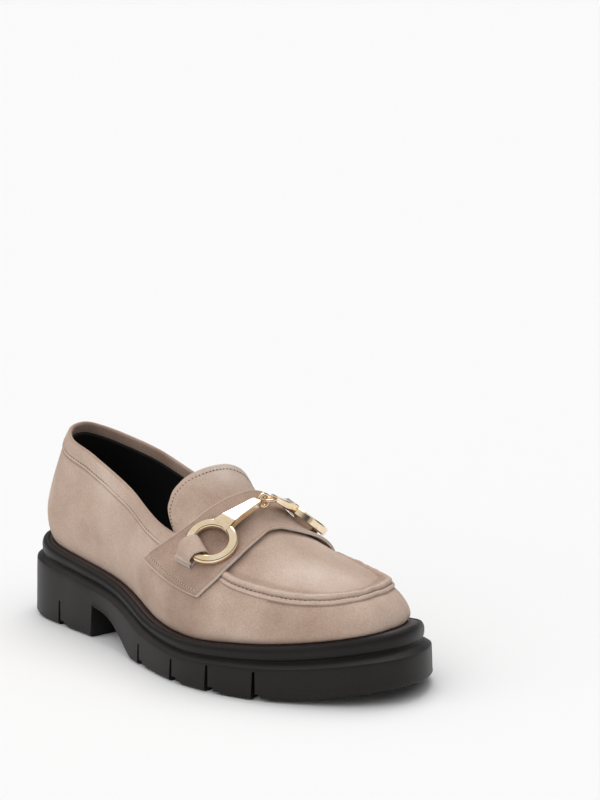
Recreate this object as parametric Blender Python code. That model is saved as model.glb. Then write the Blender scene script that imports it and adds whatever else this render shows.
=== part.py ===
"""A bit loafer for the right foot: moulded rubber sole, suede upper with a raised apron, saddle strap and bit.

Shoe sizes are millimetres. X runs from the back of the heel to the toe, Y to the wearer's left, which is the
inner side of this right shoe, and Z up from the floor. A turn is a place along one side of the outline,
0 at the back of the heel and 1 at the toe. A side is -1 for the outer one and 1 for the inner one."""

import math

import bmesh
import bpy
import numpy as np
from mathutils import Vector

# Sole.
SOLE_LENGTH = 272.0
SOLE_WIDTH = 107.0
HEEL_TOP = 43.0
ARCH_HEIGHT = 16.5
TOE_SPRING = 7.5
BREAST_X = 77.3
BREAST_LEAN = 1.6
ARCH_END_X = 125.0
SPRING_START_X = 205.0
SEAT_INSET = 6.6
SEAT_DROP = 1.8
SEAT_LIP = 0.2
EDGE_BEVEL = 1.2
TREAD_RIM = 12.0
GROOVE_WIDTH = 2.3
GROOVE_DEPTH = 12.0
# Gaps between pieces.
GAP = 0.3
FOLD_GAP = 0.55
# Welt and insole.
WELT_THICK = 1.3
INSOLE_THICK = 3.0
# Upper.
FOOT_INSET = 9.0
UPPER_WALL = 1.8
CONE_HEIGHT = 131.0
SWELL_PEAK = 0.18
APRON_WALL = 27.0
APRON_RIDGE = 6.4
APRON_RAISE = 2.1
COLLAR_BAND = 8.5
COLLAR_RAISE = 0.6
THROAT_LOW_X = 146.0
THROAT_TOP_X = 180.0
RIDGE_START_X = 192.5
COLLAR_END_X = 120.0
# Strap and tongue.
STRAP_THICK = 2.0
STRAP_END_REAR = 0.195
STRAP_END_FRONT = 0.235
TONGUE_THICK = 1.8
TONGUE_GAP = 1.3
TONGUE_REACH = 0.62
TONGUE_FRONT = 0.68
# Bit: ring, bar and eye.
BIT_X = 173.0
RING_GIRTH = 0.56
INNER_RING_RISE = 0.05
RING_LONG = 12.0
RING_SHORT = 10.8
RING_WIDTH = 4.2
RING_THICK = 2.8
RING_LIFT = 2.5
RIM_LIFT = 4.1
BAR_WIDE = 10.5
BAR_NARROW = 4.6
BAR_THICK = 3.6
EYE_RADIUS = 3.2
EYE_WIRE = 1.0
EYE_SHIFT = 1.7
EYE_LIFT = 4.8
# Loops that hold the rings.
LOOP_SLANT = 0.62
LOOP_WIDTH = 11.5
LOOP_THICK = 1.2

# Edge of the sole block by turn, as shares of SOLE_WIDTH to each side of the axis.
OUTLINE = {
    "turn": (0.0, 0.1, 0.2, 0.3, 0.4, 0.5, 0.6, 0.7, 0.8, 0.9, 1.0),
    "outer": (0.0, -0.181, -0.301, -0.34, -0.374, -0.488, -0.548, -0.48, -0.324, -0.151, 0.033),
    "inner": (0.0, 0.179, 0.303, 0.333, 0.317, 0.346, 0.438, 0.464, 0.415, 0.235, 0.033),
}
# Heights along the sole, as shares of HEEL_TOP: the seam of the upper, and how far the ledge lies below it.
HEIGHTS = {
    "length": (0.0, 0.15, 0.3, 0.42, 0.52, 0.62, 0.75, 0.88, 1.0),
    "seam": (1.0, 0.9, 0.785, 0.645, 0.521, 0.499, 0.558, 0.651, 0.796),
    "ledge_drop": (0.263, 0.212, 0.181, 0.156, 0.158, 0.185, 0.211, 0.247, 0.28),
}
# Underside of the arch from the breast of the heel forward, as shares of ARCH_HEIGHT.
ARCH = {"along": (0.0, 0.25, 0.5, 0.75, 0.9, 1.0), "height": (1.0, 0.9, 0.67, 0.33, 0.11, 0.0)}
# Side of the sole above the ledge: inset from the edge, and drop below the seam as a share of the ledge drop.
SOLE_SIDE = {
    "inset": (2.4, 3.7, 4.1, 3.1, 2.6, 3.1, 4.6),
    "drop": (0.87, 0.74, 0.6, 0.5, 0.3, 0.09, 0.0),
}
# Grooves in the side wall: place on the length, side, and height above the floor in millimetres.
GROOVES = {
    "length": (0.06, 0.172, 0.497, 0.619, 0.714, 0.81, 0.06, 0.172, 0.5, 0.615, 0.71, 0.8),
    "side": (-1, -1, -1, -1, -1, -1, 1, 1, 1, 1, 1, 1),
    "height": (13.5, 13.5, 11.0, 11.5, 13.5, 14.3, 13.5, 13.5, 11.0, 11.5, 13.5, 14.3),
}
# Last by turn: where the section meets the top line of the last, on the length.
SPINE_PLACE = {
    "turn": (0.0, 0.1, 0.2, 0.3, 0.4, 0.5, 0.6, 0.7, 0.8, 0.9, 1.0),
    "length": (0.23, 0.232, 0.25, 0.295, 0.377, 0.505, 0.638, 0.737, 0.793, 0.822, 0.84),
}
# Last by length: height of its top line as a share of CONE_HEIGHT, its place across as a share of SOLE_WIDTH,
# and how full the section is on each side.
SPINE = {
    "length": (0.0, 0.36, 0.44, 0.5, 0.55, 0.6, 0.66, 0.73, 0.8, 0.88, 0.94, 1.0),
    "height": (1.0, 0.97, 0.9, 0.795, 0.715, 0.635, 0.547, 0.49, 0.44, 0.402, 0.388, 0.385),
    "across": (0.0, 0.0, 0.0, 0.0, 0.0, 0.0, 0.01, 0.018, 0.026, 0.032, 0.033, 0.033),
    "outer": (2.0, 2.05, 2.05, 2.08, 2.1, 2.15, 2.3, 2.5, 2.65, 2.7, 2.75, 2.7),
    "inner": (2.0, 2.05, 2.05, 2.0, 1.95, 1.97, 2.07, 2.25, 2.5, 2.7, 2.75, 2.7),
}
# Collar edge by turn, above the floor as a share of CONE_HEIGHT.
COLLAR = {
    "turn": (0.0, 0.1, 0.2, 0.3, 0.4, 0.45, 0.5, 0.52),
    "outer": (0.79, 0.78, 0.75, 0.71, 0.625, 0.57, 0.525, 0.515),
    "inner": (0.79, 0.77, 0.73, 0.685, 0.61, 0.565, 0.525, 0.515),
}
# Inset of the upper's foot from the edge of the sole, by turn, as shares of FOOT_INSET.
FOOT = {
    "turn": (0.0, 0.7, 0.8, 0.87, 0.94, 1.0),
    "outer": (1.0, 1.0, 0.9, 0.86, 0.98, 1.14),
    "inner": (1.0, 1.0, 1.3, 1.4, 1.27, 1.14),
}
# Swell of the wall just above the sole, by turn, in millimetres.
SWELL = {"turn": (0.0, 0.15, 0.35, 0.5, 0.75, 1.0), "out": (5.0, 4.2, 2.6, 3.0, 2.4, 1.0)}
# Height of the apron seam up the wall by turn, as shares of APRON_WALL.
APRON = {
    "turn": (0.0, 0.55, 0.6, 0.65, 0.7, 0.8, 0.9, 1.0),
    "outer": (1.3, 1.3, 1.3, 1.07, 0.92, 0.74, 0.74, 0.735),
    "inner": (1.3, 1.3, 1.2, 1.03, 0.86, 0.745, 0.715, 0.735),
}
# Saddle strap round the foot: -1 at its outer end, 0 on top, 1 at its inner end; edges as shares of the length.
STRAP = {
    "round": (-1.0, -0.8, -0.6, -0.4, -0.2, -0.08, 0.08, 0.22, 0.4, 0.7, 1.0),
    "rear": (0.46, 0.522, 0.562, 0.58, 0.59, 0.594, 0.594, 0.591, 0.582, 0.55, 0.49),
    "front": (0.656, 0.688, 0.704, 0.708, 0.704, 0.698, 0.714, 0.72, 0.716, 0.698, 0.664),
}
# Free edge of the tongue round the foot: its place on the length, and how far it stands off the foot.
TONGUE = {
    "round": (-1.0, -0.9, -0.8, -0.6, -0.35, 0.0, 0.2, 0.4, 0.6, 1.0),
    "rear": (0.53, 0.484, 0.477, 0.486, 0.506, 0.524, 0.53, 0.531, 0.54, 0.565),
    "flare": (0.0, 1.0, 1.0, 1.0, 2.0, 3.0, 4.0, 3.6, 1.8, 0.0),
}
# Bar of the bit from its ring to its eye: share of the way, and lift off the strap.
BAR_PATH = {"way": (0.22, 0.45, 0.7), "lift": (4.6, 4.1, 4.4)}
# Fold of a loop: distance down from the ring's rim, lift off the strap, and how far it follows the ring.
LOOP_FOLD = {
    "down": (9.3, 5.4, 1.4, -3.9, -5.6, -6.0, -5.4, -2.9, 1.0, 3.5, 5.1, 6.8, 9.3),
    "lift": (0.9, 0.9, 0.9, 1.1, 2.5, 4.2, 5.9, 6.9, 6.8, 5.6, 3.8, 2.55, 2.35),
    "hold": (0.0, 0.0, 0.0, 0.1, 0.8, 1.0, 1.0, 1.0, 1.0, 1.0, 0.7, 0.2, 0.0),
}


def curve(places, values, at, level=False):
    """Smooth curve through the rows of a table, level at both ends where its rows meet those of the other side."""
    places = np.asarray(places, float)
    values = np.asarray(values, float)
    slopes = np.gradient(values, places)
    if level:
        slopes[[0, -1]] = 0
    at = np.clip(np.asarray(at, float), places[0], places[-1])
    row = np.clip(np.searchsorted(places, at, side="right") - 1, 0, len(places) - 2)
    step = places[row + 1] - places[row]
    t = (at - places[row]) / step
    start = (2 * t**3 - 3 * t**2 + 1) * values[row] + (t**3 - 2 * t**2 + t) * step * slopes[row]
    return start + (3 * t**2 - 2 * t**3) * values[row + 1] + (t**3 - t**2) * step * slopes[row + 1]


def turn_at(x):
    return math.acos(1 - 2 * x / SOLE_LENGTH) / math.pi


def outline(turn, side):
    """Edge of the sole block in plan. Ghost rows from the other side carry the curve round heel and toe."""
    turns = OUTLINE["turn"]
    own, other = ("outer", "inner") if side < 0 else ("inner", "outer")
    places = (-turns[2], -turns[1]) + turns + (2 - turns[-2], 2 - turns[-3])
    widths = (OUTLINE[other][2], OUTLINE[other][1]) + OUTLINE[own] + (OUTLINE[other][-2], OUTLINE[other][-3])
    x = SOLE_LENGTH * (1 - np.cos(np.pi * np.asarray(turn, float))) / 2
    return np.stack([x, SOLE_WIDTH * curve(places, widths, turn)], -1)


def inward(turn, side):
    ahead = outline(np.asarray(turn) + 0.002, side) - outline(np.asarray(turn) - 0.002, side)
    normal = np.stack([-ahead[..., 1], ahead[..., 0]], -1) * -side
    return normal / np.linalg.norm(normal, axis=-1, keepdims=True)


def inset(turn, side, distance):
    return outline(turn, side) + inward(turn, side) * distance


def foot_inset(turn, side):
    return FOOT_INSET * curve(FOOT["turn"], FOOT["outer" if side < 0 else "inner"], turn, level=True)


def seam_height(turn):
    along = (1 - np.cos(np.pi * np.asarray(turn, float))) / 2
    return HEEL_TOP * curve(HEIGHTS["length"], HEIGHTS["seam"], along)


def ledge_drop(turn):
    along = (1 - np.cos(np.pi * np.asarray(turn, float))) / 2
    return HEEL_TOP * curve(HEIGHTS["length"], HEIGHTS["ledge_drop"], along)


def tread_height(x):
    """Underside of the sole: flat heel, arch, flat forepart, toe spring."""
    if x <= BREAST_X:
        return 0.0
    if x < ARCH_END_X:
        along = (x - BREAST_X - BREAST_LEAN) / (ARCH_END_X - BREAST_X - BREAST_LEAN)
        return ARCH_HEIGHT * float(curve(ARCH["along"], ARCH["height"], along))
    return TOE_SPRING * max(0.0, (x - SPRING_START_X) / (SOLE_LENGTH - SPRING_START_X)) ** 2


def last_point(turn, side, girth, out=0.0):
    """A point of the last. Girth runs from 0 at the sole to 1 on the top line; out moves it off the surface."""
    turn, girth = np.broadcast_arrays(np.asarray(turn, float), np.asarray(girth, float))
    foot = inset(turn, side, foot_inset(turn, side)[..., None])
    seam = seam_height(turn) + GAP / 3
    place = curve(SPINE_PLACE["turn"], SPINE_PLACE["length"], turn, level=True)
    top = np.stack([SOLE_LENGTH * place, SOLE_WIDTH * curve(SPINE["length"], SPINE["across"], place)], -1)
    fullness = curve(SPINE["length"], SPINE["outer" if side < 0 else "inner"], foot[..., 0] / SOLE_LENGTH)
    angle = np.clip(girth, 0, 1) * np.pi / 2
    lean = np.maximum(np.cos(angle), 0) ** (2 / fullness)
    lean = np.where(girth >= 1, 0.0, lean)
    rise = np.sin(angle) ** (2 / fullness)
    reach = np.linalg.norm(foot - top, axis=-1)
    swell = curve(SWELL["turn"], SWELL["out"], turn, level=True) * (1 - girth**4)
    swell = swell * (rise / SWELL_PEAK) * np.exp(1 - rise / SWELL_PEAK)
    plan = top + (foot - top) * (lean + swell / reach)[..., None]
    cone = CONE_HEIGHT * curve(SPINE["length"], SPINE["height"], plan[..., 0] / SOLE_LENGTH)
    point = np.concatenate([plan, (seam + (cone - seam) * rise)[..., None]], -1)
    if np.all(np.asarray(out) == 0):
        return point
    return point + last_normal(turn, side, girth) * np.asarray(out, float)[..., None]


def last_normal(turn, side, girth):
    """Outward normal. On the top line and at heel and toe both sides give the same one, so that they weld."""
    step = 0.004
    turn, girth = np.broadcast_arrays(np.asarray(turn, float), np.asarray(girth, float))
    at_end = ((turn <= 0) | (turn >= 1))[..., None]
    on_top = (girth >= 1)[..., None]
    forward = np.where(turn < 0.5, 1.0, -1.0)
    along = last_point(turn + step / 4, side, girth) - last_point(turn - step / 4, side, girth)
    along = np.where(at_end, np.stack([turn * 0, forward * side, turn * 0], -1), along)
    low = np.clip(girth - step, 0.0, 1 - 2 * step)
    up = last_point(turn, side, low + 2 * step) - last_point(turn, side, low)
    up = np.where(on_top, (0.0, -side, 0.0), up)
    up = np.where(on_top & at_end, forward[..., None] * (1.0, 0.0, -0.2), up)
    normal = np.cross(along, up) * -side
    return normal / np.linalg.norm(normal, axis=-1, keepdims=True)


def collar_girth(turn, side):
    """Girth at which the upper ends: the collar at the rear, the throat, then the top line of the last."""
    x = SOLE_LENGTH * (1 - math.cos(math.pi * turn)) / 2
    if x > THROAT_TOP_X - 0.01:
        return 1.0
    levels = COLLAR["outer" if side < 0 else "inner"]
    height = CONE_HEIGHT * float(curve(COLLAR["turn"], levels, turn, level=True))
    girths = np.linspace(0.05, 0.98, 120)
    heights = last_point(np.full_like(girths, turn), side, girths)[:, 2]
    girth = float(np.interp(height, heights, girths))
    if x <= THROAT_LOW_X:
        return girth
    return girth + (1 - girth) * ((x - THROAT_LOW_X) / (THROAT_TOP_X - THROAT_LOW_X)) ** 1.2


def stations():
    """Turns of the columns, shared by sole, welt, insole and upper so that their facets match."""
    marks = (BREAST_X, BREAST_X + BREAST_LEAN, ARCH_END_X, THROAT_LOW_X)
    marks += tuple(THROAT_LOW_X + (THROAT_TOP_X - THROAT_LOW_X) * k / 6 for k in range(1, 7))
    marks += (RIDGE_START_X, RIDGE_START_X + 4)
    exact = [turn_at(x) for x in marks]
    even = [t for t in np.linspace(0, 1, 37) if min(abs(t - e) for e in exact) > 0.011]
    return np.array(sorted(even + exact))


def add_solid(name, points, faces, weld=0.002):
    mesh = bpy.data.meshes.new(name)
    mesh.from_pydata([Vector(p) * 0.001 for p in points], [], faces)
    obj = bpy.data.objects.new(name, mesh)
    bpy.context.scene.collection.objects.link(obj)
    shape = bmesh.new()
    shape.from_mesh(mesh)
    bmesh.ops.remove_doubles(shape, verts=shape.verts, dist=weld * 0.001)
    bmesh.ops.dissolve_degenerate(shape, edges=shape.edges, dist=weld * 0.001)
    bmesh.ops.recalc_face_normals(shape, faces=shape.faces)
    bmesh.ops.triangulate(shape, faces=shape.faces)
    shape.to_mesh(mesh)
    shape.free()
    return obj


def tube(rings, closed=False):
    """Faces round rings of points. Open tubes get a cap at each end; closed ones join last ring to first."""
    count, size = len(rings), len(rings[0])
    faces = []
    for i in range(count if closed else count - 1):
        a, b = i * size, (i + 1) % count * size
        faces += [(a + j, a + (j + 1) % size, b + (j + 1) % size, b + j) for j in range(size)]
    if not closed:
        faces += [tuple(range(size)), tuple(reversed(range((count - 1) * size, count * size)))]
    return [p for ring in rings for p in ring], faces


def ring_solid(name, turns, section):
    """A solid round the whole outline, closed over top and bottom. Section gives a column, bottom first."""
    outer = [section(t, -1) for t in turns]
    inner = [section(t, 1) for t in turns]
    points, faces = [], []
    for a, b in ((outer, -1), (inner, 1)):
        start = len(points)
        size = len(a[0])
        points += [p for column in a for p in column]
        for i in range(len(turns) - 1):
            for j in range(size - 1):
                k = start + i * size + j
                faces.append((k, k + size, k + size + 1, k + 1)[::b])
    size, half = len(outer[0]), len(turns) * len(outer[0])
    for i in range(len(turns) - 1):
        low, high = i * size, i * size + size - 1
        faces.append((low, half + low, half + low + size, low + size))
        faces.append((high, high + size, half + high + size, half + high))
    return add_solid(name, points, faces)


def outsole_column(turn, side):
    x = float(outline(turn, side)[0])
    bottom = tread_height(x)
    seam, drop = float(seam_height(turn)), float(ledge_drop(turn))
    rows = [(TREAD_RIM, bottom), (EDGE_BEVEL / 3, bottom)]
    rows += [(-EDGE_BEVEL * 2 / 3, bottom + EDGE_BEVEL), (0.0, seam - drop)]
    rows += [(i, seam - drop * d) for i, d in zip(SOLE_SIDE["inset"], SOLE_SIDE["drop"])]
    bed = float(foot_inset(turn, side)) + UPPER_WALL + FOLD_GAP
    rows += [(SEAT_INSET, seam - SEAT_LIP), (SEAT_INSET, seam - SEAT_DROP), (bed, seam - SEAT_DROP)]
    return [(*inset(turn, side, d), z) for d, z in rows]


def make_outsole():
    sole = ring_solid("outsole", stations(), outsole_column)
    rings, faces = [], []
    for length, side, height in zip(GROOVES["length"], GROOVES["side"], GROOVES["height"]):
        turn = turn_at(length * SOLE_LENGTH)
        centre, normal = outline(turn, side), inward(turn, side)
        across = np.array([-normal[1], normal[0]]) * GROOVE_WIDTH / 2
        corners = [(-4, -1), (GROOVE_DEPTH, -1), (GROOVE_DEPTH, 1), (-4, 1)]
        plan = [centre + normal * d + across * s for d, s in corners]
        points, shell = tube([[(*p, z) for p in plan] for z in (-5, height)])
        faces += [tuple(k + len(rings) for k in face) for face in shell]
        rings += points
    cutter = add_solid("groove_cutter", rings, faces)
    cut = sole.modifiers.new("grooves", "BOOLEAN")
    cut.operation, cut.solver, cut.object = "DIFFERENCE", "EXACT", cutter
    apply(sole)
    bpy.data.objects.remove(cutter)
    return sole


def apply(obj):
    """Put the result of an object's modifiers into its mesh."""
    shape = bmesh.new()
    shape.from_object(obj, bpy.context.evaluated_depsgraph_get())
    bmesh.ops.remove_doubles(shape, verts=shape.verts, dist=1e-6)
    bmesh.ops.dissolve_degenerate(shape, edges=shape.edges, dist=1e-6)
    bmesh.ops.triangulate(shape, faces=shape.faces)
    obj.modifiers.clear()
    shape.to_mesh(obj.data)
    shape.free()


def make_welt():
    rings = []
    for side, turns in ((-1, stations()), (1, stations()[-2:0:-1])):
        for t in turns:
            top = float(seam_height(t)) - SEAT_LIP
            far = float(foot_inset(t, side)) + UPPER_WALL
            near = SEAT_INSET + GAP
            rows = ((near, WELT_THICK), (near, 0), (far, 0), (far, WELT_THICK))
            rings.append([(*inset(t, side, d), top - down) for d, down in rows])
    return add_solid("welt", *tube(rings, closed=True))


def insole_column(turn, side):
    low = float(seam_height(turn)) - SEAT_DROP + FOLD_GAP
    edge = inset(turn, side, float(foot_inset(turn, side)) + UPPER_WALL + FOLD_GAP)
    return [(*edge, z) for z in (low, low + INSOLE_THICK)]


def upper_rows(turn, side):
    """Girths of one column, and how far the outer face is raised at each, placed by length up the wall."""
    end = collar_girth(turn, side)
    girths = np.linspace(0, end, 80)
    path = last_point(np.full_like(girths, turn), side, girths)
    length = np.concatenate([[0], np.cumsum(np.linalg.norm(np.diff(path, axis=0), axis=1))])
    x = SOLE_LENGTH * (1 - math.cos(math.pi * turn)) / 2
    front = np.clip((x - THROAT_LOW_X) / (THROAT_TOP_X - THROAT_LOW_X), 0, 1)
    shares = APRON["outer" if side < 0 else "inner"]
    apron = APRON_WALL * float(curve(APRON["turn"], shares, turn, level=True))
    foot = (1 - front) * (length[-1] - COLLAR_BAND) + front * apron
    band = (1 - front) * COLLAR_BAND + front * APRON_RIDGE
    places = list(np.linspace(0, foot, 6)) + [foot + band * k for k in (0.2, 0.65, 0.95)]
    raised = [0.0] * 6
    show = float(np.clip((x - RIDGE_START_X) / 4, 0, 1))
    ridge = np.array([APRON_RAISE * 0.85, APRON_RAISE, APRON_RAISE * 0.2]) * show
    collar = COLLAR_RAISE * float(np.clip((COLLAR_END_X - x) / 8, 0, 1))
    raised += list(ridge + collar) + [collar] * 6
    rest = max(length[-1] - places[-1], 0.4)
    places += [places[-1] + rest * k for k in (0.18, 0.36, 0.53, 0.69, 0.85, 1.0)]
    places = np.clip(places, 0, length[-1])
    found = np.interp(places, length, girths)
    found[-1] = end
    return found, np.array(raised)


def make_upper():
    turns = stations()
    points, faces = [], []
    index = {}
    ends = {}
    for side in (-1, 1):
        for i, turn in enumerate(turns):
            girths, raised = upper_rows(turn, side)
            column = np.full_like(girths, turn)
            for skin, lift in enumerate((raised, 0 * raised - UPPER_WALL)):
                path = last_point(column, side, girths, lift)
                path[0, 2] = float(seam_height(turn)) + GAP / 3
                for j, p in enumerate(path):
                    index[side, i, j, skin] = len(points)
                    points.append(p)
            ends[side, i] = girths[-1] < 0.999
    rows = len(girths)
    for side in (-1, 1):
        for i in range(len(turns) - 1):
            for j in range(rows - 1):
                for skin in (0, 1):
                    corners = ((i, j), (i + 1, j), (i + 1, j + 1), (i, j + 1))
                    faces.append([index[side, a, b, skin] for a, b in corners])
            open_rows = [0] + ([rows - 1] if ends[side, i] else [])
            for j in open_rows:
                corners = ((i, 0), (i + 1, 0), (i + 1, 1), (i, 1))
                faces.append([index[side, a, j, skin] for a, skin in corners])
    return add_solid("upper", points, faces)


def sheet(name, grid, outer, inner):
    """A solid sheet over the last. Grid holds rows of (turn, side, girth), outer and inner its two heights."""
    rows, size = len(grid), len(grid[0])
    points = []
    for skin in (outer, inner):
        lifts = np.broadcast_to(skin, (rows, size))
        for i, row in enumerate(grid):
            points += [last_point(*row[j], lifts[i, j]) for j in range(size)]
    faces = []
    count = rows * size
    for i in range(rows - 1):
        for j in range(size - 1):
            k = i * size + j
            quad = (k, k + 1, k + size + 1, k + size)
            faces += [quad, tuple(count + v for v in quad)]
    border = [(0, j) for j in range(size)] + [(i, size - 1) for i in range(1, rows)]
    border += [(rows - 1, j) for j in range(size - 2, -1, -1)] + [(i, 0) for i in range(rows - 2, 0, -1)]
    for a, b in zip(border, border[1:] + border[:1]):
        p, q = a[0] * size + a[1], b[0] * size + b[1]
        faces.append((p, q, count + q, count + p))
    return add_solid(name, points, faces)


def strap_spot(around, along):
    """Turn, side and girth on the strap: around from -1 to 1 over the foot, along from rear 0 to front 1."""
    rear = float(curve(STRAP["round"], STRAP["rear"], around))
    front = float(curve(STRAP["round"], STRAP["front"], around))
    x = SOLE_LENGTH * (rear + (front - rear) * along)
    end = STRAP_END_REAR + (STRAP_END_FRONT - STRAP_END_REAR) * along
    return turn_at(x), (-1 if around < 0 else 1), 1 - (1 - end) * abs(around)


def make_strap():
    grid = [[strap_spot(a, b) for b in np.linspace(0, 1, 6)] for a in np.linspace(-1, 1, 33)]
    return sheet("saddle_strap", grid, FOLD_GAP + STRAP_THICK, FOLD_GAP)


def make_tongue():
    """Under the vamp in front, and flared off the foot at its free edge."""
    grid, lifts = [], []
    for around in np.linspace(-1, 1, 21):
        free = float(curve(TONGUE["round"], TONGUE["rear"], around))
        flare = float(curve(TONGUE["round"], TONGUE["flare"], around))
        along = np.linspace(0, 1, 7)
        turns = [turn_at(SOLE_LENGTH * (free + (TONGUE_FRONT - free) * a)) for a in along]
        grid.append([(t, -1 if around < 0 else 1, 1 - TONGUE_REACH * abs(around)) for t in turns])
        lifts.append(-UPPER_WALL - TONGUE_GAP + flare * (1 - along) ** 6)
    lifts = np.array(lifts)
    return sheet("tongue", grid, lifts, lifts - TONGUE_THICK)


def unit(vector):
    return vector / np.linalg.norm(vector)


def ring_girth(side):
    return RING_GIRTH if side < 0 else RING_GIRTH + INNER_RING_RISE


def bit_frame(side):
    """Centre of a ring with its two axes, along the shoe and up over the foot, and its outward axis."""
    turn, base, girth = turn_at(BIT_X), FOLD_GAP + STRAP_THICK, ring_girth(side)
    centre = last_point(turn, side, girth, base + RING_LIFT)
    up = unit(last_point(turn, side, girth + 0.08) - last_point(turn, side, girth - 0.08))
    out = last_normal(np.asarray(turn), side, np.asarray(girth))
    along = unit(np.cross(up, out))
    along = along * np.sign(along[0])
    return centre, along, up, unit(out)


def section_ring(centre, wide, thick, width, thickness):
    """Eight points of a bevelled rectangle."""
    a, b = width / 2, thickness / 2
    c, d = a * 0.55, b * 0.45
    corners = ((a, -d), (a, d), (c, b), (-c, b), (-a, d), (-a, -d), (-c, -b), (c, -b))
    return [centre + wide * u + thick * v for u, v in corners]


def join(first, others):
    for other in others:
        merge = first.modifiers.new("join", "BOOLEAN")
        merge.operation, merge.solver, merge.object = "UNION", "EXACT", other
    apply(first)
    for other in others:
        bpy.data.objects.remove(other)
    return first


def make_bit_half(name, side):
    centre, along, up, out = bit_frame(side)
    rings = []
    for angle in np.linspace(0, 2 * np.pi, 28, endpoint=False):
        spoke = along * math.cos(angle) * RING_LONG + up * math.sin(angle) * RING_SHORT
        rings.append(section_ring(centre + spoke, unit(spoke), out, RING_WIDTH, RING_THICK))
    ring = add_solid(name, *tube(rings, closed=True))
    turn, base = turn_at(BIT_X), FOLD_GAP + STRAP_THICK
    crown = last_point(turn, side, 1.0, base + EYE_LIFT)
    inwards = unit(np.array([0.0, -side, 0.0]))
    eye = crown - inwards * EYE_SHIFT
    path = [centre + up * (RING_SHORT - RING_WIDTH / 4)]
    last = eye - inwards * (EYE_RADIUS + EYE_WIRE)
    girths = np.linspace(0.2, 1, 161)
    skin = last_point(np.full_like(girths, turn), side, girths)
    first_girth, last_girth = (girths[np.argmin(np.linalg.norm(skin - p, axis=1))] for p in (path[0], last))
    for way, lift in zip(BAR_PATH["way"], BAR_PATH["lift"]):
        path.append(last_point(turn, side, first_girth + (last_girth - first_girth) * way, base + lift))
    path += [last, last + inwards * EYE_WIRE * 1.4]
    bar = []
    for k, spot in enumerate(path):
        ahead = unit(path[min(k + 1, len(path) - 1)] - path[max(k - 1, 0)])
        wide = unit(along - ahead * np.dot(along, ahead))
        share = k / (len(path) - 1)
        width = BAR_WIDE + (BAR_NARROW - BAR_WIDE) * share
        thick = BAR_THICK + (EYE_WIRE * 1.6 - BAR_THICK) * share**4
        if k == len(path) - 1:
            width = EYE_WIRE * 1.6
        bar.append(section_ring(spot, wide, unit(np.cross(wide, ahead)) * side, width, thick))
    shank = add_solid(name + "_shank", *tube(bar))
    cross = np.array([0, 0, 1.0]) if side < 0 else np.array([1.0, 0, 0])
    rings = []
    for angle in np.linspace(0, 2 * np.pi, 16, endpoint=False):
        spoke = inwards * math.cos(angle) + cross * math.sin(angle)
        side_axis = unit(np.cross(inwards, cross))
        wire = [(math.cos(t), math.sin(t)) for t in np.linspace(0, 2 * np.pi, 8, endpoint=False)]
        rings.append([eye + spoke * (EYE_RADIUS + EYE_WIRE * u) + side_axis * EYE_WIRE * v for u, v in wire])
    link = add_solid(name + "_link", *tube(rings, closed=True))
    return join(ring, [shank, link])


def make_loop(name, side):
    """A folded tab: its section runs under the ring, round it and back, and is swept across the tab's width."""
    base = FOLD_GAP + STRAP_THICK
    centre, along, up, out = bit_frame(side)
    girth = ring_girth(side)
    near, far = last_point(turn_at(BIT_X), side, np.array([girth, girth - 0.1]))
    per_girth = np.linalg.norm(near - far) / 0.1
    down_axis = -up * math.cos(LOOP_SLANT) - along * math.sin(LOOP_SLANT)
    across_axis = up * math.sin(LOOP_SLANT) - along * math.cos(LOOP_SLANT)
    fold = np.array([LOOP_FOLD["down"], LOOP_FOLD["lift"]]).T
    ahead = np.gradient(fold, axis=0)
    normal = np.stack([-ahead[:, 1], ahead[:, 0]], 1)
    normal /= np.linalg.norm(normal, axis=1, keepdims=True)
    half = normal * LOOP_THICK / 2
    section = np.concatenate([fold + half, (fold - half)[::-1]])
    hold = list(LOOP_FOLD["hold"]) + list(LOOP_FOLD["hold"])[::-1]
    rings = []
    for across in np.linspace(-1, 1, 3) * LOOP_WIDTH / 2:
        ring = []
        for (down, lift), share in zip(section, hold):
            reach = down + RING_SHORT
            x = BIT_X - reach * math.sin(LOOP_SLANT) - across * math.cos(LOOP_SLANT)
            drop = reach * math.cos(LOOP_SLANT) - across * math.sin(LOOP_SLANT)
            on_strap = last_point(turn_at(x), side, girth - drop / per_girth, base + lift)
            on_ring = centre + down_axis * reach + across_axis * across + out * (lift - RIM_LIFT)
            ring.append(on_strap * (1 - share) + on_ring * share)
        rings.append(ring)
    return add_solid(name, *tube(rings))


def paint(name, hex_colour, rough, metal=0.0):
    material = bpy.data.materials.new(name)
    material.use_nodes = True
    shader = material.node_tree.nodes["Principled BSDF"]
    srgb = [int(hex_colour[k : k + 2], 16) / 255 for k in (0, 2, 4)]
    linear = [c / 12.92 if c <= 0.04045 else ((c + 0.055) / 1.055) ** 2.4 for c in srgb]
    shader.inputs["Base Color"].default_value = (*linear, 1)
    shader.inputs["Roughness"].default_value = rough
    shader.inputs["Metallic"].default_value = metal
    return material


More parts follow.
